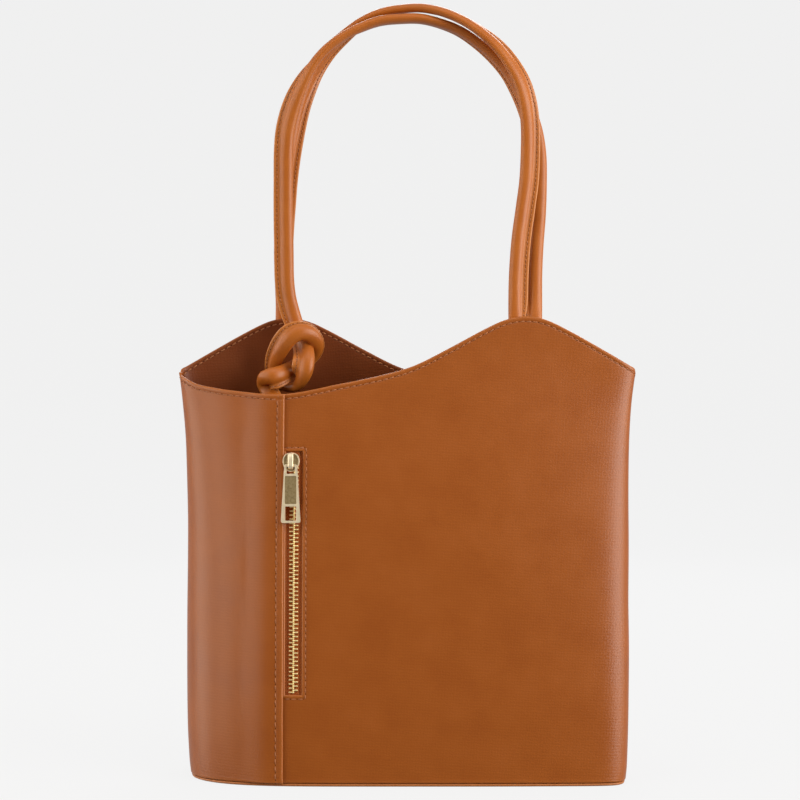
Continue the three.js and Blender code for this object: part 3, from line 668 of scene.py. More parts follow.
def panel_columns():
    """Columns from the under edge, over one face and round the end, to the turned edge."""
    places = {-UNDER_EDGE, -UNDER_EDGE + 0.003, WINDOW_LEFT + WINDOW_WIDTH / 2}
    places.update(WINDOW_LEFT - d for d in EDGE_STEPS)
    places.update(WINDOW_RIGHT + d for d in WINDOW_STEPS)
    count = round((ROUND_START - WINDOW_RIGHT - 0.004) / COLUMN_STEP)
    places.update(lerp(WINDOW_RIGHT + 0.005, ROUND_START, k / count) for k in range(count))
    columns = [{"x": x} for x in sorted(places)]
    turns = 56
    columns += [{"x": ROUND_START, "round": k / turns} for k in range(turns + 1)]
    count = round((ROUND_START - RAMP_START) / COLUMN_STEP)
    columns += [{"x": lerp(ROUND_START, RAMP_START, k / count), "round": 1}
                for k in range(1, count + 1)]
    ramp = 14
    for k in range(1, ramp + 1):
        lift = LAP_LIFT * smooth(k / ramp)
        columns.append({"x": lerp(RAMP_START, RAMP_END, k / ramp), "round": 1, "lift": lift})
    for d in sorted([*EDGE_STEPS, *SEAM_STEPS, 0.0075], reverse=True):
        columns.append({"x": SEAM_OFFSET + d, "round": 1, "lift": LAP_LIFT, "seam": d})
    return columns


def panel_rows(rim):
    """Heights of a column's points: level to the window's head, then fanned to the rim."""
    levels = {PANEL_FOOT + d for d in (0.0, 0.0001, 0.0004, 0.001, 0.003)}
    levels.update(WINDOW_FOOT - d for d in WINDOW_STEPS)
    levels.update(WINDOW_TOP + d for d in WINDOW_STEPS)
    count = round((WINDOW_FOOT - 0.01) / ROW_STEP)
    levels.update(lerp(0.006, WINDOW_FOOT - 0.006, k / count) for k in range(count + 1))
    count = round((WINDOW_TOP - WINDOW_FOOT) / ROW_STEP)
    levels.update(lerp(WINDOW_FOOT, WINDOW_TOP, k / count) for k in range(1, count))
    rows = sorted(levels)
    start, end = WINDOW_TOP + 0.007, rim - 0.0075
    fan = 12
    rows += [lerp(start, end, k / (fan - 1)) for k in range(fan)]
    return rows + [rim - d for d in sorted([*EDGE_STEPS, *SEAM_STEPS], reverse=True)]


def window_distance(x, z):
    dx = max(WINDOW_LEFT - x, x - WINDOW_RIGHT, 0)
    dz = max(WINDOW_FOOT - z, z - WINDOW_TOP, 0)
    return math.hypot(dx, dz)


def wander(x, z, seed):
    """The slow rise and fall of a leather panel, in metres."""
    p = Vector((x * 9, z * 9, seed))
    return 0.0009 * noise.noise(p) + 0.00035 * noise.noise(p * 2.7)


def build_panel(name, has_window, seed):
    """A panel with its two faces, its rounded edges and pressed stitch lines."""
    columns = panel_columns()
    outer, inner, uvs, edges = [], [], [], []
    along = 0.0
    previous = None
    for column in columns:
        mark = on_body(column_angle(column, 0.15), 0.15, 0)
        if previous is not None:
            along += (mark - previous).length
        previous = mark
        rim = column_rim(column)
        lift = column.get("lift", 0.0)
        seam = column.get("seam", 1.0)
        on_face = "round" not in column
        for z in panel_rows(rim):
            from_rim = rim - z
            nearest = min(from_rim, seam, (z - PANEL_FOOT) * 1.4 + 0.0002)
            press = groove(from_rim, RIM_STITCH_DROP) + groove(seam, SEAM_STITCH_INSET)
            if has_window and on_face and column["x"] >= WINDOW_LEFT - 0.0011:
                gap = window_distance(column["x"], z)
                nearest = min(nearest, gap) if gap > 0 else 0.0
                press += groove(gap, FRAME_STITCH_INSET)
            half = edge_half(nearest)
            press = min(press, 1.0) * GROOVE_DEPTH
            fold = EDGE_SWELL * smooth((0.003 - nearest) / 0.001)
            fade = smooth(min(from_rim, seam) / 0.03) * smooth((z - 0.004) / 0.03)
            if on_face:
                fade *= smooth((column["x"] - WINDOW_RIGHT) / 0.03)
            else:
                fade *= 1 - smooth(lift / 0.0005)
            angle = column_angle(column, z)
            middle = -WALL / 2 + lift + wander(along, z, seed) * fade
            outer.append(on_body(angle, z, middle + half + fold - press))
            inner.append(on_body(angle, z, middle - half - fold * 0.5 + press * 0.6))
            uvs.append((along, z))
            edges.append(1 - smooth(min(nearest, from_rim, seam) / 0.0026))
    count = len(columns)
    size = len(outer) // count
    heights = panel_rows(column_rim(columns[0]))

    def is_open(i, j):
        if not has_window or "round" in columns[i + 1]:
            return False
        x = (columns[i]["x"] + columns[i + 1]["x"]) / 2
        z = (heights[j] + heights[j + 1]) / 2
        return WINDOW_LEFT < x < WINDOW_RIGHT and WINDOW_FOOT < z < WINDOW_TOP

    faces, indices = sheet_faces(count, size, is_open)
    return make_object(name, outer + inner, faces, [panel_leather, inner_leather_painted_shade], indices,
                       uvs + uvs, edges + edges)


HALF_TURN = Matrix.Rotation(math.pi, 4, "Z")

front = build_panel("front_panel_leather", True, 1.0)
finish_piece(front, "bag", "panel_leather", "front_panel")
rear = build_panel("rear_panel_leather", False, 7.0)
rear.data.transform(HALF_TURN)
finish_piece(rear, "bag", "panel_leather", "rear_panel")


def build_base():
    """The base with a rounded edge all round, from rings of its outline."""
    steps = 220
    profile = [(0.0012, 0.0), (0.0004, 0.0003), (0.0, 0.001), (0.0002, 0.0016),
               (0.0011, BASE_PLATE)]
    verts, uvs, edges = [], [], []
    for inset, z in profile:
        for k in range(steps):
            point = on_body(-2 * math.pi * k / steps, 0.0, -inset)
            verts.append(Vector((point.x, point.y, z)))
            uvs.append((point.x, point.y))
            edges.append(1.0 if inset < 0.001 else 0.3)
    faces = ring_faces(0, len(profile), steps)
    for first, z in ((0, 0.0), ((len(profile) - 1) * steps, BASE_PLATE)):
        is_under = first == 0
        starts = [first]
        for share in (0.66, 0.33, 0):
            starts.append(len(verts))
            for edge in verts[first:first + (steps if share else 1)]:
                verts.append(Vector((edge.x * share, edge.y * share, z)))
                uvs.append((edge.x * share, edge.y * share))
                edges.append(0.0)
        low, middle, high, centre = starts
        for k in range(steps):
            m = (k + 1) % steps
            cap = [(a + m, a + k, b + k, b + m) for a, b in ((low, middle), (middle, high))]
            cap.append((high + m, high + k, centre))
            faces += cap if is_under else flipped(cap)
    return make_object("base_leather", verts, faces, [base_leather], None, uvs, edges)


finish_piece(build_base(), "bag", "base_leather", "base_panel")

# Stitching


class Stitches:
    """Collects short threads and needle holes, laid along paths on the leather."""

    def __init__(self, seed):
        self.random = random.Random(seed)
        self.threads, self.thread_faces = [], []
        self.holes, self.hole_faces = [], []

    def thread(self, start, end, normal):
        """One stitch: a short thread that rises between its two holes."""
        along = end - start
        length = along.length
        along.normalize()
        side = normal.cross(along).normalized()
        slant = side * self.random.uniform(*THREAD_SLANT)
        steps, sides = 6, 6
        base = len(self.threads)
        for i in range(steps + 1):
            share = i / steps
            rise = math.sin(math.pi * share)
            centre = start + along * (length * share) + slant * (share - 0.5) * 2
            centre += normal * THREAD_RADIUS * (rise * 1.05 - 0.45)
            size = THREAD_RADIUS * (0.62 + 0.38 * math.sqrt(max(rise, 0)))
            self.threads += ring(centre, side * size, normal * size * 0.85, sides)
        self.thread_faces += flipped(ring_faces(base, steps + 1, sides))
        last = base + steps * sides
        self.thread_faces += [tuple(range(base, base + sides)),
                              tuple(range(last + sides - 1, last - 1, -1))]

    def hole(self, point, along, normal):
        """A dark plug of painted shade that shows as one needle hole."""
        side = normal.cross(along).normalized() * HOLE_RADIUS
        along = along * HOLE_RADIUS
        sides = 8
        base = len(self.holes)
        low = base + sides
        centre = point + normal * HOLE_RISE
        self.holes += ring(centre, along * 1.15, side, sides)
        self.holes += ring(centre - normal * HOLE_DEPTH, along, side, sides)
        self.hole_faces += flipped(ring_faces(base, 2, sides))
        self.hole_faces += [tuple(range(base, low)),
                            tuple(range(low + sides - 1, low - 1, -1))]

    def row(self, points, normals, pitch):
        """Lays stitches end to end along a path of points with their normals."""
        lengths = [0.0]
        for a, b in zip(points, points[1:]):
            lengths.append(lengths[-1] + (b - a).length)
        total = lengths[-1]
        count = max(1, round(total / pitch))
        pitch = total / count
        gap = STITCH_GAP * pitch

        def at(s):
            s = clamp(s, 0, total)
            low = min(bisect_right(lengths, s) - 1, len(lengths) - 2)
            share = (s - lengths[low]) / (lengths[low + 1] - lengths[low] or 1)
            point = points[low].lerp(points[low + 1], share)
            return point, normals[low].lerp(normals[low + 1], share).normalized()

        for k in range(count):
            start, normal = at(k * pitch + gap)
            end, other = at((k + 1) * pitch - gap)
            self.thread(start, end, (normal + other).normalized())
            point, normal = at(k * pitch)
            along = start - point
            if along.length > 0:
                self.hole(point, along.normalized(), normal)

    def build(self, name, slot, matrix=None):
        made = [make_object(name, self.threads, self.thread_faces, [thread_tan]),
                make_object(name + "_holes", self.holes, self.hole_faces, [needle_hole_painted_shade],
                            is_smooth=False)]
        for obj in made:
            if matrix is not None:
                obj.data.transform(matrix)
            finish_piece(obj, "bag", slot)


def face_normal(angle, z, sign):
    a, b = on_body(angle, z, 0), on_body(angle, z, 0.001)
    up, down = on_body(angle, z + 0.001, 0), on_body(angle, z - 0.001, 0)
    out = (b - a).normalized()
    rise = (up - down).normalized()
    return (out - rise * out.dot(rise)).normalized() * sign


def stitch_line(marks, sign=1):
    """Points and normals of a stitch line, from the angle, height and offset of its marks."""
    return ([on_body(*mark) for mark in marks],
            [face_normal(angle, z, sign) for angle, z, _ in marks])


def rim_path(is_outer, lowest_x):
    """The rim's stitch line over the panel, on its outer or its inner face."""
    marks = []
    depth = -GROOVE_DEPTH * 0.6 if is_outer else -WALL + GROOVE_DEPTH * 0.4
    for column in panel_columns():
        if "round" not in column and column["x"] < lowest_x:
            continue
        if column.get("seam", 1.0) < SEAM_STITCH_INSET and is_outer:
            continue
        z = column_rim(column) - RIM_STITCH_DROP
        marks.append((column_angle(column, z), z, column.get("lift", 0.0) + depth))
    return stitch_line(marks, 1 if is_outer else -1)


def seam_path():
    """The lap's stitch line, from the base to the rim's stitch line."""
    column = {"x": SEAM_OFFSET + SEAM_STITCH_INSET, "round": 1}
    top = column_rim(column) - RIM_STITCH_DROP
    steps = 90
    heights = [lerp(0.0045, top, k / steps) for k in range(steps + 1)]
    depth = LAP_LIFT - GROOVE_DEPTH * 0.6
    return stitch_line([(column_angle(column, z), z, depth) for z in heights])


def frame_path():
    """The stitch line round the window's head, right side and foot."""
    left = -SEAM_OFFSET + 0.0004
    right = WINDOW_RIGHT + FRAME_STITCH_INSET
    head, foot = WINDOW_TOP + FRAME_STITCH_INSET, WINDOW_FOOT - FRAME_STITCH_INSET
    corners = [(left, head), (right, head), (right, foot), (left, foot)]
    marks = []
    for (xa, za), (xb, zb) in zip(corners, corners[1:]):
        steps = max(6, round(math.hypot(xb - xa, zb - za) / 0.003))
        for k in range(steps + 1):
            x, z = lerp(xa, xb, k / steps), lerp(za, zb, k / steps)
            marks.append((front_angle(x, z), z, -GROOVE_DEPTH * 0.6))
    return stitch_line(marks)


for name, matrix, seed in (("front", None, 11), ("rear", HALF_TURN, 12)):
    sewn = Stitches(seed)
    sewn.row(*rim_path(True, -SEAM_OFFSET + 0.0006), PANEL_PITCH)
    sewn.row(*rim_path(False, -UNDER_EDGE + 0.001), PANEL_PITCH)
    sewn.row(*seam_path(), SEAM_PITCH)
    if matrix is None:
        sewn.row(*frame_path(), PANEL_PITCH)
    sewn.build(name + "_panel_stitches", "panel_leather", matrix)

# Straps

STRAP_DEFAULTS = (0, 0, 0, 0, 1, 1, 0, "free")


def seated_back(row, x, z):
    """How far back a flat strap end lies on the wall that carries it."""
    gap = SEWN_GAP + STRAP_END / 2
    if row["seat"] == "front":
        return on_front(x, z, -WALL - gap).y
    return -on_front(-x, z, gap).y


def seated_turn(row, x, z, is_start):
    """The turn that lays a flat strap end's two sides along its wall."""
    facing = x if row["seat"] == "front" else -x
    slope = (on_front(facing + 0.001, z, 0).y - on_front(facing - 0.001, z, 0).y) / 0.002
    out = -1 if is_start else 1
    side_x = out * math.copysign(1, math.cos(math.radians(row["turn"])))
    turn = math.degrees(math.atan2(side_x * slope, side_x * out))
    return turn - 360 * round((turn - row["turn"]) / 360)


def placed_rows(rows, origin, scale):
    """A strap table's rows with their points. A seated row lies on the wall that carries it."""
    made = []
    for index, values in enumerate(rows):
        row = dict(zip(STRAP_COLUMNS, (*values, *STRAP_DEFAULTS[len(values):])))
        keys = ("across", "back", "up")
        x, y, z = (start + row[key] * size for start, key, size in zip(origin, keys, scale))
        if row["seat"] != "free":
            row["turn"] = seated_turn(row, x, z, index < len(rows) / 2)
            y = seated_back(row, x, z)
        made.append({**row, "point": Vector((x, y, z))})
    return made


class Route:
    """A centripetal Catmull-Rom curve through the rows' points."""

    def __init__(self, points):
        self.points = points

    def point(self, at):
        last = len(self.points) - 1
        place = clamp(at, 0, 1) * last
        i = min(int(place), last - 1)
        weight = place - i
        p1, p2 = self.points[i], self.points[i + 1]
        p0 = self.points[i - 1] if i > 0 else p1 * 2 - p2
        p3 = self.points[i + 2] if i + 2 <= last else p2 * 2 - p1
        d0 = math.sqrt((p1 - p0).length)
        d1 = math.sqrt((p2 - p1).length)
        d2 = math.sqrt((p3 - p2).length)
        t1 = ((p1 - p0) / d0 - (p2 - p0) / (d0 + d1) + (p2 - p1) / d1) * d1
        t2 = ((p2 - p1) / d1 - (p3 - p1) / (d1 + d2) + (p3 - p2) / d2) * d1
        c2 = p1 * -3 + p2 * 3 - t1 * 2 - t2
        c3 = p1 * 2 - p2 * 2 + t1 + t2
        return p1 + t1 * weight + c2 * weight ** 2 + c3 * weight ** 3

    def tangent(self, at):
        step = 0.0002
        low, high = max(at - step, 0), min(at + step, 1)
        return (self.point(high) - self.point(low)).normalized()


STRAP_STEP = 0.0022
CREASE_DEPTH = 0.03
# The face and the side of each of the four stitch lines on a strap's flat end, and the
# step along the strap past which a stitch line starts anew
TAB_CORNERS = [(1, -1), (1, 1), (-1, -1), (-1, 1)]
TAB_STITCH_INSET = 0.0014
LINE_BREAK = 0.006
# Degrees round the tube at which its section has points
TUBE_ANGLES = [26, 34, 43, 53, 64, 76, 90, 104, 118, 132, 145, 157, 168, 176]


def strap_profile(edge, girth, flat):
    """The strap's section, from the stitched edge's tip round the tube and back to it."""
    flat_half = STRAP_END / 2
    tube_half = girth * TUBE_WIDTH / 2
    thick_half = lerp(girth * TUBE_THICKNESS / 2, flat_half, flat)
    edge_thick = lerp(FLANGE_THICKNESS / 2, flat_half, flat) * 0.95
    reach = max(FLANGE_WIDTH * edge, EDGE_LEAST)
    tip = tube_half + reach
    root = tube_half * math.cos(math.radians(TUBE_ANGLES[0])) + 0.0004
    press = GROOVE_DEPTH * smooth(edge / 0.4) * (1 - flat)
    upper = [
        (tip, edge_thick * 0.25),
        (tip - 0.00012, edge_thick * 0.68),
        (tip - 0.0005, edge_thick),
        (lerp(tip, tube_half, 0.36), edge_thick * 1.02),
        (lerp(tip, tube_half, 0.55), edge_thick - press),
        (lerp(tip, tube_half, 0.74), edge_thick * 1.02),
        (max(lerp(tip, tube_half, 0.95), root), edge_thick - press * 0.3),
    ]
    for degrees in TUBE_ANGLES:
        angle = math.radians(degrees)
        oval = thick_half * math.sin(angle)
        pressed = flat_half * min(1.0, math.sqrt(math.sin(angle) / math.sin(math.radians(25))))
        upper.append((tube_half * math.cos(angle), lerp(oval, pressed, flat)))
    lower = [(side, -thick) for side, thick in reversed(upper)]
    return upper + lower


def mellow(values):
    """Takes the corners off a list of numbers that runs along the strap."""
    for _ in range(4):
        between = [(a + 2 * b + c) / 4 for a, b, c in zip(values, values[1:], values[2:])]
        values = [values[0], *between, values[-1]]
    return values


def build_strap(name, node, rows, seed):
    route = Route([row["point"] for row in rows])
    spans = len(rows) - 1
    places, columns = [], {"turn": [], "edge": [], "girth": [], "flat": []}
    for i in range(spans):
        length = (rows[i + 1]["point"] - rows[i]["point"]).length
        steps = max(2, round(length / STRAP_STEP))
        for k in range(steps + (i == spans - 1)):
            share = k / steps
            places.append(min((i + share) / spans, 1))
            for key, column in columns.items():
                column.append(lerp(rows[i][key], rows[i + 1][key], share))
    for key in columns:
        columns[key] = mellow(columns[key])
    verts, uvs, edges = [], [], []
    lines = [[] for _ in range(2 + len(TAB_CORNERS))]
    front_line, back_line, *tab_lines = lines
    along = 0.0
    previous = None
    for i, at in enumerate(places):
        centre, tangent = route.point(at), route.tangent(at)
        out = tangent.cross(Vector((0, 1, 0))).normalized()
        back = out.cross(tangent).normalized()
        turn = math.radians(columns["turn"][i])
        side = out * math.cos(turn) + back * math.sin(turn)
        thick = tangent.cross(side)
        edge, girth, flat = (columns[key][i] for key in ("edge", "girth", "flat"))
        profile = strap_profile(edge, girth, flat)
        if previous is not None:
            along += (centre - previous).length
        previous = centre
        size = len(profile)
        round_trip = 0.0
        for k, (s, t) in enumerate(profile):
            crease = 1 + CREASE_DEPTH * noise.noise(Vector((along * 160, k * 0.25, seed)))
            verts.append(centre + side * s + thick * t * crease)
            if k:
                round_trip += math.hypot(s - profile[k - 1][0], t - profile[k - 1][1])
            uvs.append((round_trip, along))
            from_tip = min(k, size - 1 - k)
            edges.append(1.0 if from_tip < 3 else 0.35 if from_tip < 7 else 0.0)
        tube_half = girth * TUBE_WIDTH / 2
        if edge > 0.33 and flat < 0.6:
            reach = tube_half + FLANGE_WIDTH * edge * 0.45
            lift = FLANGE_THICKNESS / 2 * 0.95 - GROOVE_DEPTH * 0.7
            front_line.append((along, centre + side * reach + thick * lift, thick))
            back_line.append((along, centre + side * reach - thick * lift, -thick))
        if flat > 0.93:
            for line, (face, way) in zip(tab_lines, TAB_CORNERS):
                spot = centre + side * way * (tube_half - TAB_STITCH_INSET)
                spot += thick * face * (STRAP_END / 2 + 0.00002)
                line.append((along, spot, thick * face))
    faces = ring_faces(0, len(places), size)
    last = (len(places) - 1) * size
    for k in range(size // 2 - 1):
        faces.append((k, size - 1 - k, size - 2 - k, k + 1))
        faces.append((last + k, last + k + 1, last + size - 2 - k, last + size - 1 - k))
    obj = make_object(name, verts, faces, [strap_leather], None, uvs, edges)
    finish_piece(obj, "bag", "strap_leather", node)
    sewn = Stitches(seed)
    for marks in lines:
        run = []
        for mark, after in zip(marks, marks[1:] + [None]):
            run.append(mark)
            if after is None or after[0] - mark[0] > LINE_BREAK:
                if len(run) > 2 and mark[0] - run[0][0] > STRAP_PITCH:
                    sewn.row([m[1] for m in run], [m[2] for m in run], STRAP_PITCH)
                run = []
    sewn.build(name.replace("leather", "stitches"), "strap_leather")


knot_place = (KNOT_SHIFT - PEAK_OFFSET, 0, PEAK_HEIGHT - KNOT_DROP), (KNOT_SIZE,) * 3
arch_place = (0, 0, PEAK_HEIGHT), (PEAK_OFFSET, MOUTH_DEPTH, ARCH_RISE)
knotted = placed_rows(KNOT_ROWS, *knot_place) + placed_rows(FRONT_ARCH_ROWS, *arch_place)
plain = placed_rows(REAR_ARCH_ROWS, *arch_place)
build_strap("strap_knotted_leather", "strap_knotted", knotted, 21)
build_strap("strap_plain_leather", "strap_plain", plain, 22)

# Zip

CHAIN_CENTRE = WINDOW_LEFT + WINDOW_WIDTH / 2
TAPE_FACE = -WALL - CLEARANCE
TOOTH_BACK = TAPE_FACE + CLEARANCE
SLIDER_HEAD = WINDOW_TOP - 0.001
TEETH_HEAD = SLIDER_HEAD - 0.0065
TEETH_FOOT = WINDOW_FOOT + 0.001


def build_tape():
    """The tape behind the window, with a raised cord on each side of the chain."""
    left, width = WINDOW_LEFT - TAPE_MARGIN, WINDOW_WIDTH + 2 * TAPE_MARGIN
    foot, head = WINDOW_FOOT - TAPE_MARGIN / 2, WINDOW_TOP + TAPE_MARGIN / 2
    across, steps = 44, 70
    verts, uvs = [], []
    for layer in (0, 1):
        for i in range(across + 1):
            x = left + width * i / across
            reach = abs(x - CHAIN_CENTRE)
            cord = CORD_RISE * math.exp(-((reach - CORD_REACH) / CORD_WIDTH) ** 2)
            for k in range(steps + 1):
                z = lerp(foot, head, k / steps)
                offset = TAPE_FACE - TAPE_THICKNESS if layer else TAPE_FACE + cord
                verts.append(on_front(x, z, offset))
                uvs.append((x, z))
    faces, _ = sheet_faces(across + 1, steps + 1, lambda i, j: False)
    return make_object("zip_tape_cloth_painted_light", verts, faces, [zip_tape_cloth_painted_light], uvs=uvs)


TOOTH_STATIONS = [
    (0.0, 0.62, 0.62), (0.05, 0.86, 0.76), (0.3, 0.86, 0.78), (0.62, 0.78, 0.78),
    (0.7, 0.86, 0.86), (0.76, 1.16, 0.96), (0.94, 1.16, 0.98), (1.0, 0.9, 0.84),
]
TOOTH_SIDES = 12
TOOTH_TIP = 0.00055


def build_teeth(name, side):
    """One side's teeth: bars from the tape's cord to a wider head in the chain's middle."""
    verts, faces = [], []
    start = TEETH_FOOT + (TOOTH_PITCH / 2 if side > 0 else 0) + 0.0007
    count = int((TEETH_HEAD - start) / TOOTH_PITCH)
    outer, tip = side * CHAIN_WIDTH / 2, -side * TOOTH_TIP
    for k in range(count):
        z = start + k * TOOTH_PITCH
        origin = on_front(CHAIN_CENTRE, z, TOOTH_BACK)
        left, right = on_front(CHAIN_CENTRE - 0.001, z, 0), on_front(CHAIN_CENTRE + 0.001, z, 0)
        low, high = on_front(CHAIN_CENTRE, z - 0.001, 0), on_front(CHAIN_CENTRE, z + 0.001, 0)
        across, up = (right - left).normalized(), (high - low).normalized()
        out = across.cross(up).normalized()
        base = len(verts)
        for share, tall, rise in TOOTH_STATIONS:
            reach = out * (TOOTH_RISE * rise / 2)
            centre = origin + across * lerp(outer, tip, share) + reach
            verts += ring(centre, up * (TOOTH_HEIGHT / 2 * tall), reach, TOOTH_SIDES, 0.6)
        last = len(verts) - TOOTH_SIDES
        tooth = ring_faces(base, len(TOOTH_STATIONS), TOOTH_SIDES)
        tooth += [tuple(range(base, base + TOOTH_SIDES))[::-1],
                  tuple(range(last, last + TOOTH_SIDES))]
        faces += flipped(tooth) if side < 0 else tooth
    return make_object(name, verts, faces, [brass_teeth])


finish_piece(build_tape(), "bag", "zip_tape", "zip_tape")
for side, label in ((-1, "left"), (1, "right")):
    teeth = build_teeth("zip_teeth_" + label + "_brass", side)
    finish_piece(teeth, "bag", "zip_teeth", "zip_teeth_" + label)


SLIDER_CENTRE = CHAIN_CENTRE - 0.0016
SLIDER_OUTLINE = [
    (0.0006, 0.0026), (0.0001, 0.0028), (0.0, 0.0033), (0.00025, 0.0037), (0.0008, 0.00375),
    (0.0012, 0.00345), (0.0024, 0.0034), (0.0036, 0.0036),
]
PULL_ROUNDING = 0.0002
SLIDER_LENGTH = 0.013
SLIDER_HEAD_HALF = 0.00575
SLIDER_FOOT_HALF = 0.0044
CROWN_PATH = [
    (0.0034, -0.0007), (0.0048, -0.0008), (0.0060, -0.0015), (0.0065, -0.0029),
    (0.0066, -0.0050), (0.0066, -0.0088), (0.0064, -0.0101), (0.0056, -0.0107),
    (0.0034, -0.0108),
]


def slider_frame():
    """The slider's head on the leather, with the directions right, outwards and up."""
    head = on_front(SLIDER_CENTRE, SLIDER_HEAD, 0)
    up = (head - on_front(SLIDER_CENTRE, SLIDER_HEAD - 0.0388, 0)).normalized()
    right = (on_front(SLIDER_CENTRE + 0.001, SLIDER_HEAD, 0)
             - on_front(SLIDER_CENTRE - 0.001, SLIDER_HEAD, 0))
    right = (right - up * right.dot(up)).normalized()
    return head, right, right.cross(up), up


def build_slider():
    """The slider: a shouldered plate with a raised border, and the crown's bridge."""
    head, right, out, up = slider_frame()
    steps = 48
    verts = []
    for inset, depth in SLIDER_OUTLINE:
        for k in range(steps):
            turn = 2 * math.pi * k / steps
            z = (SLIDER_LENGTH / 2 - inset) * signed_power(math.sin(turn), 0.8)
            widening = smooth((z + SLIDER_LENGTH / 2) / 0.007)
            half = lerp(SLIDER_FOOT_HALF, SLIDER_HEAD_HALF, widening) - inset
            x = half * signed_power(math.cos(turn), 0.8)
            verts.append(head + right * x + out * depth + up * (z - SLIDER_LENGTH / 2))
    rings = len(SLIDER_OUTLINE)
    faces = ring_faces(0, rings, steps)
    indices = [int(i > 3) for i in range(rings - 1) for _ in range(steps)]
    faces += [tuple(range(steps))[::-1], tuple(range((rings - 1) * steps, rings * steps))]
    indices += [0, 1]
    sides = 14
    base = len(verts)
    last = len(CROWN_PATH) - 1
    for i, (depth, z) in enumerate(CROWN_PATH):
        before, after = CROWN_PATH[max(i - 1, 0)], CROWN_PATH[min(i + 1, last)]
        run = Vector((after[0] - before[0], after[1] - before[1])).normalized()
        normal = out * -run.y + up * run.x
        half = lerp(0.002, 0.0016, i / last)
        spot = head + out * depth + up * z
        verts += ring(spot, right * half, normal * 0.00048, sides, 0.6)
    crown = ring_faces(base, len(CROWN_PATH), sides)
    faces += crown
    indices += [0] * len(crown)
    obj = make_object("zip_slider_metal", verts, faces, [antique_gold, dark_gold], indices)
    bm = bmesh.new()
    bm.from_mesh(obj.data)
    bmesh.ops.recalc_face_normals(bm, faces=bm.faces)
    bm.to_mesh(obj.data)
    bm.free()
    obj.data.set_sharp_from_angle(angle=math.radians(50))
    return obj


def build_pull():
    """The pull with rounded edges. The floor of its recess is darker."""
    bm = bmesh.new()
    bm.from_mesh(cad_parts["zip_pull"].data)
    bmesh.ops.remove_doubles(bm, verts=bm.verts, dist=1e-6)
    bmesh.ops.dissolve_limit(bm, angle_limit=math.radians(2), verts=bm.verts, edges=bm.edges)
    sharp = [e for e in bm.edges if e.is_manifold and e.calc_face_angle(0) > math.radians(35)]
    bmesh.ops.bevel(bm, geom=sharp, offset=PULL_ROUNDING, segments=3, affect="EDGES",
                    profile=0.6, clamp_overlap=True)
    bmesh.ops.triangulate(bm, faces=[f for f in bm.faces if len(f.verts) > 4])
    mesh = bpy.data.meshes.new("zip_pull_metal")
    bm.to_mesh(mesh)
    bm.free()
    mesh.materials.clear()
    mesh.materials.append(antique_gold)
    mesh.materials.append(dark_gold)
    mesh.polygons.foreach_set("use_smooth", [True] * len(mesh.polygons))
    mesh.set_sharp_from_angle(angle=math.radians(40))
    out = slider_frame()[2]
    widest = max((f for f in mesh.polygons if f.normal.dot(out) > 0.9),
                 key=lambda f: f.area).normal.copy()
    facing = [f for f in mesh.polygons if f.normal.dot(widest) > 0.98]
    front_most = max(f.center.dot(widest) for f in facing)
    for face in facing:
        if face.center.dot(widest) < front_most - 0.00015:
            face.material_index = 1
    return link_object("zip_pull_metal", mesh)


finish_piece(build_slider(), "bag", "zip_fitting", "zip_slider")
finish_piece(build_pull(), "zip_pull", "zip_fitting", "zip_pull")

# Floor, light and camera


def build_backdrop():
    """A pale floor that sweeps up into a backdrop behind the bag."""
    turn = 1.2
    profile = [(-4.0, 0.0), (2.0, 0.0)]
    profile += [(2.0 + turn * math.sin(a), turn * (1 - math.cos(a)))
                for a in (math.pi / 2 * k / 16 for k in range(1, 17))]
    profile.append((2.0 + turn, 6.0))
    verts = [Vector((x, y, z)) for y, z in profile for x in (-8.0, 8.0)]
    faces = [(2 * i, 2 * i + 1, 2 * i + 3, 2 * i + 2) for i in range(len(profile) - 1)]
    n = Nodes("studio_floor")
    n.set(Base_Color=(0.05, 0.05, 0.05, 1), Roughness=0.9, Specular_IOR_Level=0.0,
          Emission_Color=(1, 1, 1, 1), Emission_Strength=0.85)
    obj = make_object("studio_floor", verts, faces, [n.material])
    obj.visible_diffuse = False
    obj.visible_glossy = False


WHITE = (1.0, 1.0, 1.0)
MILD = (1.0, 0.97, 0.92)
WARM = (1.0, 0.93, 0.8)
MIDDLE = (0, 0, 0.25)
CAMERA_PLACE = (-0.0041, -1.4, 0.2543)
CAMERA_LENS = 92.66
CAMERA_SENSOR = 36
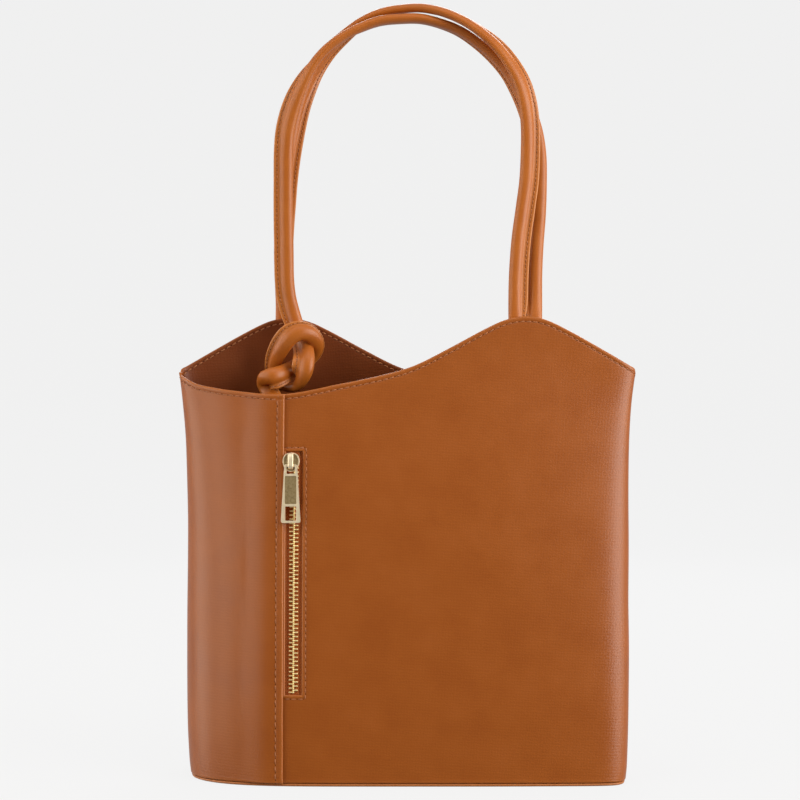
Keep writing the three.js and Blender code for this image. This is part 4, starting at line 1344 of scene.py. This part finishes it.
# Each light's name, place, aim, size, power and colour.
SOFTBOXES = [
    ("left_softbox", (-1.5, -1.1, 0.6), MIDDLE, (0.9, 1.8), 14, WARM),
    ("left_edge_softbox", (-1.75, 0.0, 0.5), MIDDLE, (0.9, 1.8), 15, WARM),
    ("right_softbox", (1.5, -1.15, 0.6), MIDDLE, (1.1, 1.8), 36, MILD),
    ("right_edge_softbox", (1.8, -0.35, 0.6), MIDDLE, (0.9, 1.8), 14, WARM),
    ("top_softbox", (0.0, -1.2, 2.2), MIDDLE, (2.2, 1.2), 12, WHITE),
    ("rear_softbox", (0.3, 1.7, 1.5), (0, 0, 0.2), (1.6, 1.0), 22, WHITE),
]


def area_light(name, place, aim, size, power, colour):
    data = bpy.data.lights.new(name, "AREA")
    data.shape = "RECTANGLE"
    data.size, data.size_y = size
    data.energy = power
    data.color = colour
    obj = link_object(name, data)
    obj.location = place
    obj.rotation_euler = (Vector(aim) - Vector(place)).to_track_quat("-Z", "Y").to_euler()


build_backdrop()
for row in SOFTBOXES:
    area_light(*row)

world = bpy.data.worlds.new("studio")
bpy.context.scene.world = world
world.use_nodes = True
tree = world.node_tree
direction = add_node(tree, "TexCoord").outputs["Generated"]
level = add_node(tree, "SeparateXYZ", {0: direction}).outputs["Y"]
shade = add_node(tree, "MapRange", {
    "Value": level, "From Min": -0.9, "From Max": 0.2, "To Min": 0.09, "To Max": 0.5,
}).outputs["Result"]
seen = add_node(tree, "LightPath").outputs["Is Camera Ray"]
pick = add_node(tree, "Mix", {0: seen, 2: shade, 3: 0.89})
tree.links.new(pick.outputs[0], tree.nodes["Background"].inputs["Strength"])
tree.nodes["Background"].inputs["Color"].default_value = (1, 1, 1, 1)

camera_data = bpy.data.cameras.new("camera")
camera_data.lens = CAMERA_LENS
camera_data.sensor_width = CAMERA_SENSOR
camera = link_object("camera", camera_data)
camera.location = CAMERA_PLACE
camera.rotation_euler = (math.pi / 2, 0, 0)
bpy.context.scene.camera = camera
bpy.context.scene.view_settings.view_transform = "Standard"
